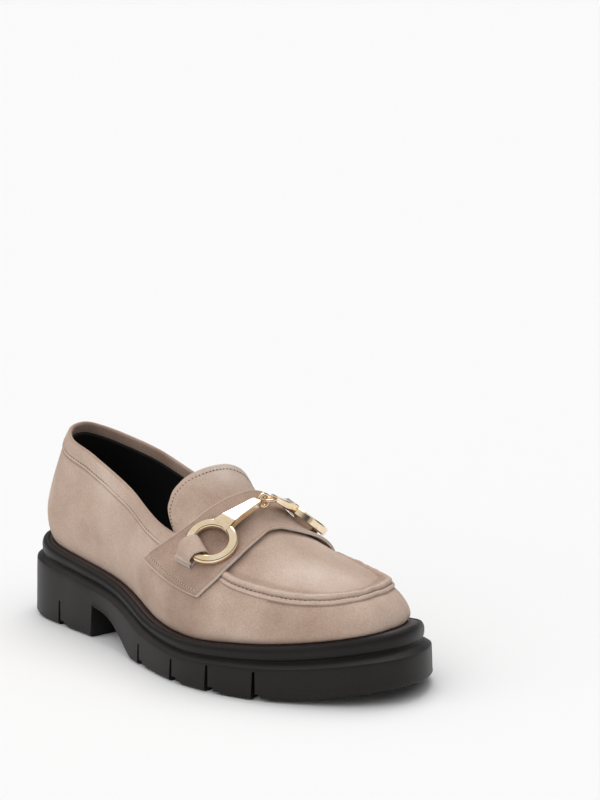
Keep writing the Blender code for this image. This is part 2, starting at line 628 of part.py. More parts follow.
def main():
    for obj in list(bpy.data.objects):
        bpy.data.objects.remove(obj)
    suede = paint("suede", "bfae9d", 0.95)
    rubber = paint("black_rubber", "2a2828", 0.6)
    brown = paint("welt_brown", "3a2a28", 0.6)
    lining = paint("black_leather", "1c1b1b", 0.5)
    brass = paint("pale_brass", "d9c6a0", 0.2, 1.0)
    pieces = [
        (make_outsole(), rubber),
        (make_welt(), brown),
        (ring_solid("insole", stations(), insole_column), lining),
        (make_upper(), suede),
        (make_strap(), suede),
        (make_tongue(), suede),
        (make_loop("bit_loop_outer", -1), suede),
        (make_loop("bit_loop_inner", 1), suede),
        (make_bit_half("bit_half_outer", -1), brass),
        (make_bit_half("bit_half_inner", 1), brass),
    ]
    for obj, material in pieces:
        obj.data.materials.append(material)
    spots = np.array([v.co for obj, _ in pieces for v in obj.data.vertices])
    low, high = spots.min(0), spots.max(0)
    middle = Vector(((low[0] + high[0]) / 2, (low[1] + high[1]) / 2, 0))
    for obj, _ in pieces:
        for vertex in obj.data.vertices:
            vertex.co -= middle


main()
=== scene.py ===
"""Looks of a suede bit loafer for the right foot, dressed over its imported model.

Shoe sizes are millimetres, as in the part: X from the back of the heel to the toe, Y to the inner side of
the foot, Z up from the floor. A turn is a place along one side of the outline, 0 at the back of the heel and
1 at the toe. A side is -1 for the outer one and 1 for the inner one. Girth runs from 0 at the sole to 1 on
the top line of the last."""

import math

import bmesh
import bpy
import numpy as np
from mathutils import Matrix, Vector, noise


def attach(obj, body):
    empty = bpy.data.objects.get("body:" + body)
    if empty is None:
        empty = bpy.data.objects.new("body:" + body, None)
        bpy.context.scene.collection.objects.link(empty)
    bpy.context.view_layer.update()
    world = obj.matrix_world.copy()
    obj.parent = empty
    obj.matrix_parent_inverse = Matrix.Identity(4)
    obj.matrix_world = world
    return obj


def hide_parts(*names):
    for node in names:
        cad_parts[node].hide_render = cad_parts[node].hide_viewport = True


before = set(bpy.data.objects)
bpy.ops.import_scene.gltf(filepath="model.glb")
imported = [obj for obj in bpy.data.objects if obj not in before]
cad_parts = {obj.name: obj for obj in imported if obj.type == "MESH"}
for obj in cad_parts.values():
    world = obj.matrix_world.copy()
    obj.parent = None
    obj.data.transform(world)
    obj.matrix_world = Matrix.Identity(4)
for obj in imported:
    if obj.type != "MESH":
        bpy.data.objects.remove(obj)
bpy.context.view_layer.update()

# The part stands with the middle of its box over the origin of the frame.
MIDDLE = Vector((136.0, -4.4456, 0.0))
# Sole.
SOLE_LENGTH = 272.0
SOLE_WIDTH = 107.0
HEEL_TOP = 43.0
ARCH_HEIGHT = 16.5
TOE_SPRING = 7.5
BREAST_X = 77.3
BREAST_LEAN = 1.6
ARCH_END_X = 125.0
SPRING_START_X = 205.0
SEAT_INSET = 6.6
SEAT_DROP = 1.8
SEAT_LIP = 0.2
GROOVE_WIDTH = 2.3
GROOVE_DEPTH = 12.0
# The block's side wall: its foot is rounded up to this height, it bulges a little, and it ends under the
# ledge, at this share of the ledge drop.
EDGE_HEIGHT = 1.6
WALL_BULGE = 0.7
WALL_END = 1.04
TREAD_RIM = 5.0
# The ledge widens by this share over the last part of the sole, round the toe.
LEDGE_WIDEN = 0.3
LEDGE_WIDEN_X = 205.0
LEDGE_WIDEN_LENGTH = 60.0
# Gaps and thicknesses.
GAP = 0.3
FOLD_GAP = 0.55
INSOLE_THICK = 3.0
UPPER_WALL = 1.8
LINING_LIFT = -2.1
LINING_THICK = 0.8
FOOT_INSET = 9.0
CONE_HEIGHT = 131.0
SWELL_PEAK = 0.18
# Apron, collar and throat.
APRON_WALL = 27.0
APRON_RIDGE = 6.4
COLLAR_BAND = 8.5
COLLAR_END_X = 136.0
COLLAR_SEAM_SHARE = 0.2
FACING_DEPTH = 5.2
THROAT_LOW_X = 146.0
THROAT_TOP_X = 180.0
RIDGE_START_X = 186.0
APRON_SEAM_X = 192.0
APRON_SEAM_SHARE = 0.33
# Strap and tongue.
STRAP_THICK = 2.0
STRAP_END_REAR = 0.195
STRAP_END_FRONT = 0.235
STRAP_SEAM = 0.955
TONGUE_THICK = 1.8
TONGUE_GAP = 1.3
TONGUE_REACH = 0.62
TONGUE_FRONT = 0.68
# Bit and its loops. The tilt is in degrees, and the loops' angles are in radians.
BIT_X = 173.0
RING_GIRTH = 0.56
INNER_RING_RISE = 0.05
INNER_RING_TILT = 8.0
INNER_RING_OFF = 1.2
INNER_RIM_EXTRA = 0.9
RING_LONG = 12.0
RING_SHORT = 10.8
RING_DRAWN_IN = 0.3
RING_WIDTH = 4.9
RING_THICK = 3.6
RING_LIFT = 2.5
RIM_LIFT = 4.1
BAR_WIDE = 11.0
BAR_NARROW = 4.4
BAR_THICK = 3.8
EYE_RADIUS = 3.2
EYE_WIRE = 1.0
EYE_SHIFT = 1.7
EYE_LIFT = 4.8
LOOP_SLANT = 0.78
LOOP_HANG = 0.36
LOOP_TURN_BACK = 0.14
LOOP_WIDTH = 12.6
LOOP_THICK = 1.2
# Rows of the upper's turned collar edge and of its facing inside.
ROLL_ROWS = 8
FACING_ROWS = 13
# Stitches.
THREAD = 0.3
STITCH_LENGTH = 1.5
STITCH_PITCH = 2.4

# Edge of the sole block by turn, as shares of SOLE_WIDTH to each side of the axis.
OUTLINE = {
    "turn": (0.0, 0.1, 0.2, 0.3, 0.4, 0.5, 0.6, 0.7, 0.8, 0.9, 1.0),
    "outer": (0.0, -0.181, -0.301, -0.34, -0.374, -0.488, -0.548, -0.48, -0.324, -0.151, 0.033),
    "inner": (0.0, 0.179, 0.303, 0.333, 0.317, 0.346, 0.438, 0.464, 0.415, 0.235, 0.033),
}
# Heights along the sole, as shares of HEEL_TOP: the seam of the upper, and how far the ledge lies below it.
HEIGHTS = {
    "length": (0.0, 0.15, 0.3, 0.42, 0.52, 0.62, 0.75, 0.88, 1.0),
    "seam": (1.0, 0.9, 0.785, 0.645, 0.521, 0.499, 0.558, 0.651, 0.796),
    "ledge_drop": (0.263, 0.212, 0.181, 0.156, 0.158, 0.185, 0.211, 0.247, 0.28),
}
# Underside of the arch from the breast of the heel forward, as shares of ARCH_HEIGHT.
ARCH = {"along": (0.0, 0.25, 0.5, 0.75, 0.9, 1.0), "height": (1.0, 0.9, 0.67, 0.33, 0.11, 0.0)}
# Foot of the sole's side wall, rounded: inset from the edge, and height above the tread.
TREAD_EDGE = {"inset": (1.2, 0.5, -0.1, -0.5, -0.7), "up": (0, 0.15, 0.5, 1.0, EDGE_HEIGHT)}
# Side of the sole from the ledge up: inset from the edge, and drop below the seam as a share of the ledge
# drop. A bevelled ledge, a fine groove, then the round bead.
SOLE_SIDE = {
    "inset": (0.15, 0.6, 1.4, 2.4, 3.1, 3.65, 3.75, 3.4, 3.1, 2.95, 2.9, 3.05, 3.45, 4.1, 4.95, 5.8),
    "drop": (0.99, 0.96, 0.9, 0.84, 0.795, 0.76, 0.725, 0.68, 0.6, 0.48, 0.35, 0.23, 0.12, 0.04, 0.0, 0.0),
}
# Grooves in the side wall: place on the length, side, and height above the floor in millimetres.
GROOVES = {
    "length": (0.06, 0.172, 0.497, 0.619, 0.714, 0.81, 0.06, 0.172, 0.5, 0.615, 0.71, 0.8),
    "side": (-1, -1, -1, -1, -1, -1, 1, 1, 1, 1, 1, 1),
    "height": (13.5, 13.5, 11.0, 11.5, 13.5, 14.3, 13.5, 13.5, 11.0, 11.5, 13.5, 14.3),
}
# A groove is a wedge, wider at its foot and narrower at its top by these shares. Two small treads are
# stepped into the lug ahead of it. Each row of STEPS is one tread: its length, its height above the sole's
# tread, its depth, and its length at the top as a share of that at the foot.
WEDGE_FOOT = 1.25
WEDGE_TOP = 0.6
STEPS = ((4.6, 3.0, 4.5, 0.96), (8.6, 1.4, 3.4, 0.98))
# Section of the welt: share of its width from the edge inward, and drop below its top.
WELT_SECTION = {
    "share": (0, 0, 0.08, 0.25, 0.5, 0.8, 1, 1, 0),
    "down": (1.3, 0.35, 0.05, -0.15, -0.2, 0, 0.2, 1.3, 1.3),
}
# Last by turn: where the section meets the top line of the last, on the length.
SPINE_PLACE = {
    "turn": (0.0, 0.1, 0.2, 0.3, 0.4, 0.5, 0.6, 0.7, 0.8, 0.9, 1.0),
    "length": (0.23, 0.232, 0.25, 0.295, 0.377, 0.505, 0.638, 0.737, 0.793, 0.822, 0.84),
}
# Last by length: height of its top line as a share of CONE_HEIGHT, its place across as a share of
# SOLE_WIDTH, and how full the section is on each side.
SPINE = {
    "length": (0.0, 0.36, 0.44, 0.5, 0.55, 0.6, 0.66, 0.73, 0.8, 0.88, 0.94, 1.0),
    "height": (1.0, 0.97, 0.9, 0.795, 0.715, 0.635, 0.547, 0.49, 0.44, 0.402, 0.388, 0.385),
    "across": (0.0, 0.0, 0.0, 0.0, 0.0, 0.0, 0.01, 0.018, 0.026, 0.032, 0.033, 0.033),
    "outer": (2.0, 2.05, 2.05, 2.08, 2.1, 2.15, 2.3, 2.5, 2.65, 2.7, 2.75, 2.7),
    "inner": (2.0, 2.05, 2.05, 2.0, 1.95, 1.97, 2.07, 2.25, 2.5, 2.7, 2.75, 2.7),
}
# Collar edge by turn, above the floor as a share of CONE_HEIGHT.
COLLAR = {
    "turn": (0.0, 0.1, 0.2, 0.3, 0.4, 0.45, 0.5, 0.52),
    "outer": (0.79, 0.78, 0.75, 0.71, 0.625, 0.57, 0.525, 0.515),
    "inner": (0.79, 0.77, 0.73, 0.685, 0.61, 0.565, 0.525, 0.515),
}
# Inset of the upper's foot from the edge of the sole, by turn, as shares of FOOT_INSET.
FOOT = {
    "turn": (0.0, 0.7, 0.8, 0.87, 0.94, 1.0),
    "outer": (1.0, 1.0, 0.9, 0.86, 0.98, 1.14),
    "inner": (1.0, 1.0, 1.3, 1.4, 1.27, 1.14),
}
# Swell of the wall just above the sole, by turn, in millimetres.
SWELL = {"turn": (0.0, 0.15, 0.35, 0.5, 0.75, 1.0), "out": (5.0, 4.2, 2.6, 3.0, 2.4, 1.0)}
# Height of the apron seam up the wall by turn, as shares of APRON_WALL.
APRON = {
    "turn": (0.0, 0.55, 0.6, 0.65, 0.7, 0.8, 0.9, 1.0),
    "outer": (1.3, 1.3, 1.3, 1.07, 0.92, 0.74, 0.74, 0.735),
    "inner": (1.3, 1.3, 1.2, 1.03, 0.86, 0.745, 0.715, 0.735),
}
# Section of the apron's rolled seam across its band: a flat stitched flange, then the roll, which sinks
# softly into the plug. Section of the collar band: a turned edge, its seam, and the band. Tone is above 0
# paler
# and below 0 darker: painted shade at the foot of each step, in the stitch trough and in the crease behind
# the roll, painted highlights on the roll and on the lip of the collar band's step, and the pale frayed edge
# of the apron's flange.
RIDGE = {
    "share": (0.0, 0.05, 0.1, 0.26, 0.33, 0.42, 0.55, 0.7, 0.85, 1.0, 1.2, 1.5),
    "raise": (0.0, 1.0, 1.4, 1.45, 0.8, 1.8, 2.7, 2.8, 1.9, 0.4, -0.5, 0.0),
    "shade_and_nap_tone": (-0.9, 0.9, 0.6, 0.1, -0.9, 0.0, 0.4, 0.4, -0.1, -0.6, -0.3, 0.0),
}
BAND = {
    "share": (0.0, 0.03, 0.07, 0.15, 0.2, 0.25, 0.4, 1.0, 1.5),
    "raise": (0.0, 0.5, 0.62, 0.55, 0.22, 0.5, 0.6, 0.6, 0.6),
    "shade_and_nap_tone": (-1.2, -0.3, 0.3, 0.0, -0.7, -0.2, -0.15, -0.1, 0.0),
}
# Saddle strap round the foot: -1 at its outer end, 0 on top, 1 at its inner end. Its edges are shares of the
# length.
STRAP = {
    "round": (-1.0, -0.8, -0.6, -0.4, -0.2, -0.08, 0.08, 0.22, 0.4, 0.7, 1.0),
    "rear": (0.46, 0.522, 0.562, 0.58, 0.59, 0.594, 0.594, 0.591, 0.582, 0.55, 0.49),
    "front": (0.656, 0.688, 0.704, 0.708, 0.704, 0.698, 0.714, 0.72, 0.716, 0.698, 0.664),
}
# Free edge of the tongue round the foot: its place on the length, and how far it stands off the foot.
TONGUE = {
    "round": (-1.0, -0.9, -0.8, -0.6, -0.35, 0.0, 0.2, 0.4, 0.6, 1.0),
    "rear": (0.53, 0.484, 0.477, 0.486, 0.506, 0.524, 0.53, 0.531, 0.54, 0.565),
    "flare": (0.0, 1.0, 1.0, 1.0, 2.0, 3.0, 4.0, 3.6, 1.8, 0.0),
}
# Bar of the bit from its ring to its eye: share of the way, and lift off the strap.
BAR_PATH = {"way": (0.22, 0.45, 0.7), "lift": (4.6, 4.1, 4.4)}
# Fold of a loop: distance down from the ring's rim, lift off the strap, and how far it follows the ring.
LOOP_FOLD = {
    "down": (8.6, 5.4, 1.4, -3.9, -5.6, -6.0, -5.4, -2.9, 1.0, 3.5, 5.1, 6.8, 8.6),
    "lift": (0.9, 0.9, 0.9, 1.1, 2.5, 4.2, 5.9, 6.9, 6.8, 5.6, 3.8, 2.55, 2.35),
    "hold": (0.0, 0.0, 0.0, 0.1, 0.8, 1.0, 1.0, 1.0, 1.0, 1.0, 0.7, 0.2, 0.0),
}
# Rows of the bar tack that sews a loop down: distance down from the ring's rim, and lift off the strap.
TACK = {"down": (7.0, 8.8, 10.2), "lift": (3.15, 2.95, 0.3)}
# Edge of a cut sheet by rows from its rim: how far it is rounded off, and its tone: a pale frayed rim, then a
# slightly darker line just inside it.
RIM_ROUND = (1.0, 0.35, 0.08, 0.0)
RIM_TONE = (1.1, -0.45, -0.15, 0.0)
# Soft creases: side, place on the length and girth of both ends, depth and half width in mm.
CREASES = (
    (-1, 0.17, 0.2, 0.2, 0.4, 0.5, 7.0),
    (-1, 0.29, 0.12, 0.33, 0.3, -0.4, 8.0),
    (-1, 0.4, 0.1, 0.47, 0.26, 0.5, 7.0),
    (-1, 0.5, 0.22, 0.6, 0.1, 0.5, 6.0),
    (-1, 0.72, 0.62, 0.8, 0.78, 0.8, 6.0),
    (-1, 0.74, 0.95, 0.85, 0.8, -0.6, 7.0),
    (1, 0.75, 0.7, 0.85, 0.85, 0.6, 7.0),
    (-1, 0.78, 0.14, 0.86, 0.2, 0.35, 7.0),
    (1, 0.2, 0.22, 0.26, 0.4, 0.5, 8.0),
    (1, 0.42, 0.1, 0.5, 0.26, 0.5, 7.0),
    (1, 0.7, 0.2, 0.8, 0.16, 0.4, 8.0),
)
# Soft patches of colour, above 0 paler and below 0 darker. Partly painted shade (low on the waist, by the
# strap's edges) and painted light (on top of the vamp), partly the nap's own brushed patches. Each row: side,
# place on the length, girth, radius in mm, and tone.
UPPER_SHADE_AND_NAP_PATCHES = (
    (-1, 0.04, 0.35, 16.0, -0.3),
    (-1, 0.1, 0.6, 22.0, 0.15),
    (-1, 0.12, 0.12, 14.0, -0.25),
    (-1, 0.25, 0.7, 14.0, -0.5),
    (-1, 0.27, 0.35, 20.0, 0.35),
    (-1, 0.36, 0.08, 16.0, 0.2),
    (-1, 0.42, 0.4, 16.0, -0.3),
    (-1, 0.47, 0.1, 14.0, -0.55),
    (-1, 0.6, 0.08, 20.0, -0.95),
    (-1, 0.7, 0.2, 14.0, -0.3),
    (-1, 0.76, 0.1, 16.0, 0.2),
    (-1, 0.86, 0.12, 22.0, -0.35),
    (-1, 0.96, 0.25, 14.0, 0.15),
    (-1, 0.72, 0.6, 12.0, -0.5),
    (-1, 0.76, 0.9, 14.0, -0.25),
    (-1, 0.83, 0.75, 16.0, 0.7),
    (-1, 0.9, 0.9, 14.0, 0.35),
    (1, 0.8, 0.75, 14.0, 0.3),
    (1, 0.9, 0.6, 14.0, -0.2),
    (1, 0.6, 0.1, 20.0, -0.5),
    (1, 0.3, 0.4, 24.0, 0.3),
)
# The strap's patches, as above: painted shade under the bit's outer ring, and the nap's own patches.
STRAP_SHADE_AND_NAP_PATCHES = (
    (-1, 0.5, 0.3, 14.0, -0.35),
    (-1, 0.62, 0.35, 12.0, -0.2),
    (-1, 0.62, 0.6, 13.0, -0.9),
    (-1, 0.66, 0.85, 14.0, 0.15),
    (1, 0.66, 0.85, 16.0, -0.2),
)
# The tongue's patches, as above: painted shade by the strap's rear edge, painted light on the tongue's top,
# and the nap's own patches.
TONGUE_SHADE_AND_NAP_PATCHES = (
    (-1, 0.5, 0.65, 12.0, 0.25),
    (-1, 0.56, 0.75, 14.0, -0.55),
    (-1, 0.52, 0.98, 14.0, 0.85),
    (1, 0.52, 0.85, 14.0, 0.6),
)


def curve(places, values, at, level=False):
    """Smooth curve through the rows of a table. It is level at both ends where its rows meet those of the
    other side."""
    places = np.asarray(places, float)
    values = np.asarray(values, float)
    slopes = np.gradient(values, places)
    if level:
        slopes[[0, -1]] = 0
    at = np.clip(np.asarray(at, float), places[0], places[-1])
    row = np.clip(np.searchsorted(places, at, side="right") - 1, 0, len(places) - 2)
    step = places[row + 1] - places[row]
    t = (at - places[row]) / step
    start = (2 * t**3 - 3 * t**2 + 1) * values[row] + (t**3 - 2 * t**2 + t) * step * slopes[row]
    return start + (3 * t**2 - 2 * t**3) * values[row + 1] + (t**3 - t**2) * step * slopes[row + 1]


def turn_at(x):
    return np.arccos(1 - 2 * np.asarray(x, float) / SOLE_LENGTH) / math.pi


def length_at(turn):
    return SOLE_LENGTH * (1 - np.cos(math.pi * np.asarray(turn, float))) / 2


def outline(turn, side):
    """Edge of the sole block in plan. Ghost rows from the other side carry the curve round heel and toe."""
    turns = OUTLINE["turn"]
    own, other = ("outer", "inner") if side < 0 else ("inner", "outer")
    places = (-turns[2], -turns[1]) + turns + (2 - turns[-2], 2 - turns[-3])
    widths = (OUTLINE[other][2], OUTLINE[other][1]) + OUTLINE[own] + (OUTLINE[other][-2], OUTLINE[other][-3])
    return np.stack([length_at(turn), SOLE_WIDTH * curve(places, widths, turn)], -1)


def inward(turn, side):
    ahead = outline(np.asarray(turn) + 0.002, side) - outline(np.asarray(turn) - 0.002, side)
    normal = np.stack([-ahead[..., 1], ahead[..., 0]], -1) * -side
    return normal / np.linalg.norm(normal, axis=-1, keepdims=True)


def inset(turn, side, distance):
    return outline(turn, side) + inward(turn, side) * np.asarray(distance, float)[..., None]


def foot_inset(turn, side):
    return FOOT_INSET * curve(FOOT["turn"], FOOT["outer" if side < 0 else "inner"], turn, level=True)


def seam_height(turn):
    return HEEL_TOP * curve(HEIGHTS["length"], HEIGHTS["seam"], length_at(turn) / SOLE_LENGTH)


def ledge_drop(turn):
    return HEEL_TOP * curve(HEIGHTS["length"], HEIGHTS["ledge_drop"], length_at(turn) / SOLE_LENGTH)


def tread_height(x):
    """Underside of the sole: flat heel, arch, flat forepart, toe spring."""
    along = (x - BREAST_X - BREAST_LEAN) / (ARCH_END_X - BREAST_X - BREAST_LEAN)
    arch = ARCH_HEIGHT * curve(ARCH["along"], ARCH["height"], along)
    arch = arch * np.clip((x - BREAST_X) / BREAST_LEAN, 0, 1)
    spring = TOE_SPRING * np.clip((x - SPRING_START_X) / (SOLE_LENGTH - SPRING_START_X), 0, 2) ** 2
    return np.where(x < ARCH_END_X, arch, spring)


def last_point(turn, side, girth, out=0.0):
    """A point of the last; out moves it off the surface."""
    turn, girth = np.broadcast_arrays(np.asarray(turn, float), np.asarray(girth, float))
    foot = inset(turn, side, foot_inset(turn, side))
    seam = seam_height(turn) + GAP / 3
    place = curve(SPINE_PLACE["turn"], SPINE_PLACE["length"], turn, level=True)
    top = np.stack([SOLE_LENGTH * place, SOLE_WIDTH * curve(SPINE["length"], SPINE["across"], place)], -1)
    fullness = curve(SPINE["length"], SPINE["outer" if side < 0 else "inner"], foot[..., 0] / SOLE_LENGTH)
    angle = np.clip(girth, 0, 1) * np.pi / 2
    lean = np.maximum(np.cos(angle), 0) ** (2 / fullness)
    lean = np.where(girth >= 1, 0.0, lean)
    rise = np.sin(angle) ** (2 / fullness)
    reach = np.linalg.norm(foot - top, axis=-1)
    swell = curve(SWELL["turn"], SWELL["out"], turn, level=True) * (1 - girth**4)
    swell = swell * (rise / SWELL_PEAK) * np.exp(1 - rise / SWELL_PEAK)
    plan = top + (foot - top) * (lean + swell / reach)[..., None]
    cone = CONE_HEIGHT * curve(SPINE["length"], SPINE["height"], plan[..., 0] / SOLE_LENGTH)
    point = np.concatenate([plan, (seam + (cone - seam) * rise)[..., None]], -1)
    if np.all(np.asarray(out) == 0):
        return point
    return point + last_normal(turn, side, girth) * np.asarray(out, float)[..., None]


def last_normal(turn, side, girth):
    """Outward normal. On the top line and at heel and toe both sides give the same one, so that they
    weld."""
    step = 0.004
    turn, girth = np.broadcast_arrays(np.asarray(turn, float), np.asarray(girth, float))
    at_end = ((turn <= 0) | (turn >= 1))[..., None]
    on_top = (girth >= 1)[..., None]
    forward = np.where(turn < 0.5, 1.0, -1.0)
    along = last_point(turn + step / 4, side, girth) - last_point(turn - step / 4, side, girth)
    along = np.where(at_end, np.stack([turn * 0, forward * side, turn * 0], -1), along)
    low = np.clip(girth - step, 0.0, 1 - 2 * step)
    up = last_point(turn, side, low + 2 * step) - last_point(turn, side, low)
    up = np.where(on_top, (0.0, -side, 0.0), up)
    up = np.where(on_top & at_end, forward[..., None] * (1.0, 0.0, -0.2), up)
    normal = np.cross(along, up) * -side
    return normal / np.linalg.norm(normal, axis=-1, keepdims=True)


def collar_girth(turns, side):
    """Girth at which the upper ends: the collar at the rear, the throat, then the top line of the last."""
    x = length_at(turns)
    levels = COLLAR["outer" if side < 0 else "inner"]
    heights = CONE_HEIGHT * curve(COLLAR["turn"], levels, turns, level=True)
    girths = np.linspace(0.05, 0.98, 120)
    ladder = last_point(turns[:, None], side, girths[None, :])[..., 2]
    low = np.array([np.interp(h, row, girths) for h, row in zip(heights, ladder)])
    share = np.clip((x - THROAT_LOW_X) / (THROAT_TOP_X - THROAT_LOW_X), 0, 1)
    return low + (1 - low) * share**1.2


# Small tools for shapes. A shape is a bmesh in shoe millimetres until it is set down as a piece.
def lay(points, tones=None, open_at=None):
    """A sheet from the grid operator, whose corners take their places from columns and rows of points, and
    their tones where given: painted light and shade, and the nap's own tone. Faces at the columns and rows
    that open_at names are left out."""
    points = np.asarray(points, float)
    columns, rows = points.shape[:2]
    shape = bmesh.new()
    bmesh.ops.create_grid(shape, x_segments=columns - 1, y_segments=rows - 1, size=0.5)
    shade_and_nap_tone = shape.verts.layers.float.new("shade_and_nap_tone")
    if open_at is not None:
        gone = []
        for face in shape.faces:
            spot = face.calc_center_median()
            if open_at(int((spot.x + 0.5) * (columns - 1)), int((spot.y + 0.5) * (rows - 1))):
                gone.append(face)
        bmesh.ops.delete(shape, geom=gone, context="FACES_ONLY")
    for corner in shape.verts:
        column = round((corner.co.x + 0.5) * (columns - 1))
        row = round((corner.co.y + 0.5) * (rows - 1))
        corner.co = points[column, row]
        if tones is not None:
            corner[shade_and_nap_tone] = tones[column, row]
    shape.normal_update()
    return shape


def weld(shape, distance=0.004):
    bmesh.ops.remove_doubles(shape, verts=shape.verts, dist=distance)
    bmesh.ops.dissolve_degenerate(shape, edges=shape.edges, dist=distance / 2)
    bmesh.ops.recalc_face_normals(shape, faces=shape.faces)
    return shape


def cap(shape):
    """Closes the open ends of a tube."""
    bmesh.ops.holes_fill(shape, edges=[e for e in shape.edges if e.is_boundary], sides=0)
    return shape


def join(shapes):
    whole = bmesh.new()
    for shape in shapes:
        part = bpy.data.meshes.new("part")
        shape.to_mesh(part)
        shape.free()
        whole.from_mesh(part)
        bpy.data.meshes.remove(part)
    return whole


def to_frame(shape):
    """Takes a shape from shoe millimetres to the metres of the frame."""
    for corner in shape.verts:
        corner.co = (corner.co - MIDDLE) * 0.001


def set_down(shape, name, node, materials, sharp=None):
    """Makes a piece of a shape: in the frame, smooth, riding on the shoe in place of its node."""
    mesh = bpy.data.meshes.new(name)
    to_frame(shape)
    shape.normal_update()
    for face in shape.faces:
        face.smooth = True
    shape.to_mesh(mesh)
    shape.free()
    for material in materials:
        mesh.materials.append(material)
    if sharp:
        mesh.set_sharp_from_angle(angle=math.radians(sharp))
    piece = bpy.data.objects.new(name, mesh)
    bpy.context.scene.collection.objects.link(piece)
    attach(piece, "root")
    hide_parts(node)
    return piece


def settle(piece):
    """Puts the result of a piece's modifiers into its mesh."""
    shape = bmesh.new()
    shape.from_object(piece, bpy.context.evaluated_depsgraph_get())
    piece.modifiers.clear()
    shape.to_mesh(piece.data)
    shape.free()


def unit(vector):
    return vector / np.linalg.norm(vector, axis=-1, keepdims=True)


def ripple(points, size, height):
    """A slow unevenness of soft leather."""
    flat = points.reshape(-1, 3)
    values = [noise.noise(Vector(p) / size) for p in flat]
    return np.array(values).reshape(points.shape[:-1]) * height


def painted(points, patches):
    """Tone from soft patches, above 0 paler and below 0 darker: painted light and shade, and the nap's own
    patches.
    """
    total = np.zeros(points.shape[:-1])
    for side, place, girth, radius, shade_and_nap_tone in patches:
        centre = last_point(turn_at(place * SOLE_LENGTH), side, girth)
        away = np.linalg.norm((points - centre) * (1.0, 1.0, 1.3), axis=-1)
        total += shade_and_nap_tone * np.exp(-((away / radius) ** 2))
    return total


def crease_depth(points):
    """How far the hand-laid creases push the leather out at each point."""
    total = np.zeros(points.shape[:-1])
    for side, from_x, from_girth, to_x, to_girth, depth, width in CREASES:
        start = last_point(turn_at(from_x * SOLE_LENGTH), side, from_girth)
        line = last_point(turn_at(to_x * SOLE_LENGTH), side, to_girth) - start
        share = np.clip(((points - start) @ line) / (line @ line), 0, 1)
        away = np.linalg.norm(points - start - share[..., None] * line, axis=-1)
        total -= depth * np.exp(-((away / width) ** 2))
    return total


# Materials.
def linear(hex_colour):
    srgb = [int(hex_colour[k : k + 2], 16) / 255 for k in (0, 2, 4)]
    return (*[c / 12.92 if c <= 0.04045 else ((c + 0.055) / 1.055) ** 2.4 for c in srgb], 1.0)


def node(tree, kind, links=None, **settings):
    """Adds a node, sets its options and inputs, and links inputs that are given as sockets."""
    made = tree.nodes.new(kind)
    for key, value in settings.items():
        setattr(made, key, value)
    for name, value in (links or {}).items():
        if isinstance(value, bpy.types.NodeSocket):
            tree.links.new(value, made.inputs[name])
        else:
            made.inputs[name].default_value = value
    return made


def surface(name, **values):
    """A new material and its tree, with plain values set on its Principled shader."""
    material = bpy.data.materials.new(name)
    material.use_nodes = True
    tree = material.node_tree
    shader = tree.nodes["Principled BSDF"]
    for key, value in values.items():
        shader.inputs[key.replace("_", " ")].default_value = value
    return material, tree, shader


def ramp(tree, value, stops):
    made = node(tree, "ShaderNodeValToRGB", {"Fac": value})
    band = made.color_ramp
    while len(band.elements) < len(stops):
        band.elements.new(0.5)
    for element, (place, hex_colour) in zip(band.elements, stops):
        element.position = place
        element.color = linear(hex_colour)
    return made.outputs["Color"]


def suede(name, tones, lift=0.0, nap=1.0):
    """Split leather with a short brushed nap: no gloss, a soft bloom at grazing angles, and cloudy patches
    where the nap lies one way or the other. The nap's fibres are 0.1 mm, too fine to show, and are drawn
    0.8 mm coarse."""
    material, tree, shader = surface(name, Roughness=0.93, Sheen_Weight=0.25, Sheen_Roughness=0.45)
    shader.inputs["Sheen Tint"].default_value = linear("e6d8cc")
    shader.inputs["Specular IOR Level"].default_value = 0.15
    place = node(tree, "ShaderNodeTexCoord").outputs["Object"]
    # Clouds of 30 mm, brushed patches of 8 mm, and fibres of 0.8 mm.
    wide = {"Vector": place, "Scale": 34.0, "Detail": 3.0, "Roughness": 0.5}
    clouds = node(tree, "ShaderNodeTexNoise", wide)
    small = {"Vector": place, "Scale": 130.0, "Detail": 4.0, "Roughness": 0.6}
    patches = node(tree, "ShaderNodeTexNoise", small)
    fine = {"Vector": place, "Scale": 1250.0, "Detail": 4.0, "Roughness": 0.8}
    fibres = node(tree, "ShaderNodeTexNoise", fine)
    # The painted tone attribute brings painted light and shade, and the nap's own patches, into the colour.
    painted_shade_and_nap = node(tree, "ShaderNodeAttribute", attribute_name="shade_and_nap_tone")
    soft = node(tree, "ShaderNodeMix", {0: 0.25, 2: clouds.outputs["Fac"], 3: patches.outputs["Fac"]})
    downy = node(tree, "ShaderNodeMix", {0: 0.52, 2: soft.outputs[0], 3: fibres.outputs["Fac"]})
    laid = {0: painted_shade_and_nap.outputs["Fac"], 1: 0.22, 2: downy.outputs[0]}
    toned = node(tree, "ShaderNodeMath", laid, operation="MULTIPLY_ADD")
    shifted = node(tree, "ShaderNodeMath", {0: toned.outputs[0], 1: lift}, operation="ADD")
    tree.links.new(ramp(tree, shifted.outputs[0], tones), shader.inputs["Base Color"])
    swell = {"Height": patches.outputs["Fac"], "Strength": 0.25, "Distance": 0.0004}
    lie = node(tree, "ShaderNodeBump", swell)
    grain = {"Height": fibres.outputs["Fac"], "Normal": lie.outputs["Normal"], "Strength": 0.5 * nap}
    fuzz = node(tree, "ShaderNodeBump", {**grain, "Distance": 0.0003})
    tree.links.new(fuzz.outputs["Normal"], shader.inputs["Normal"])
    return material


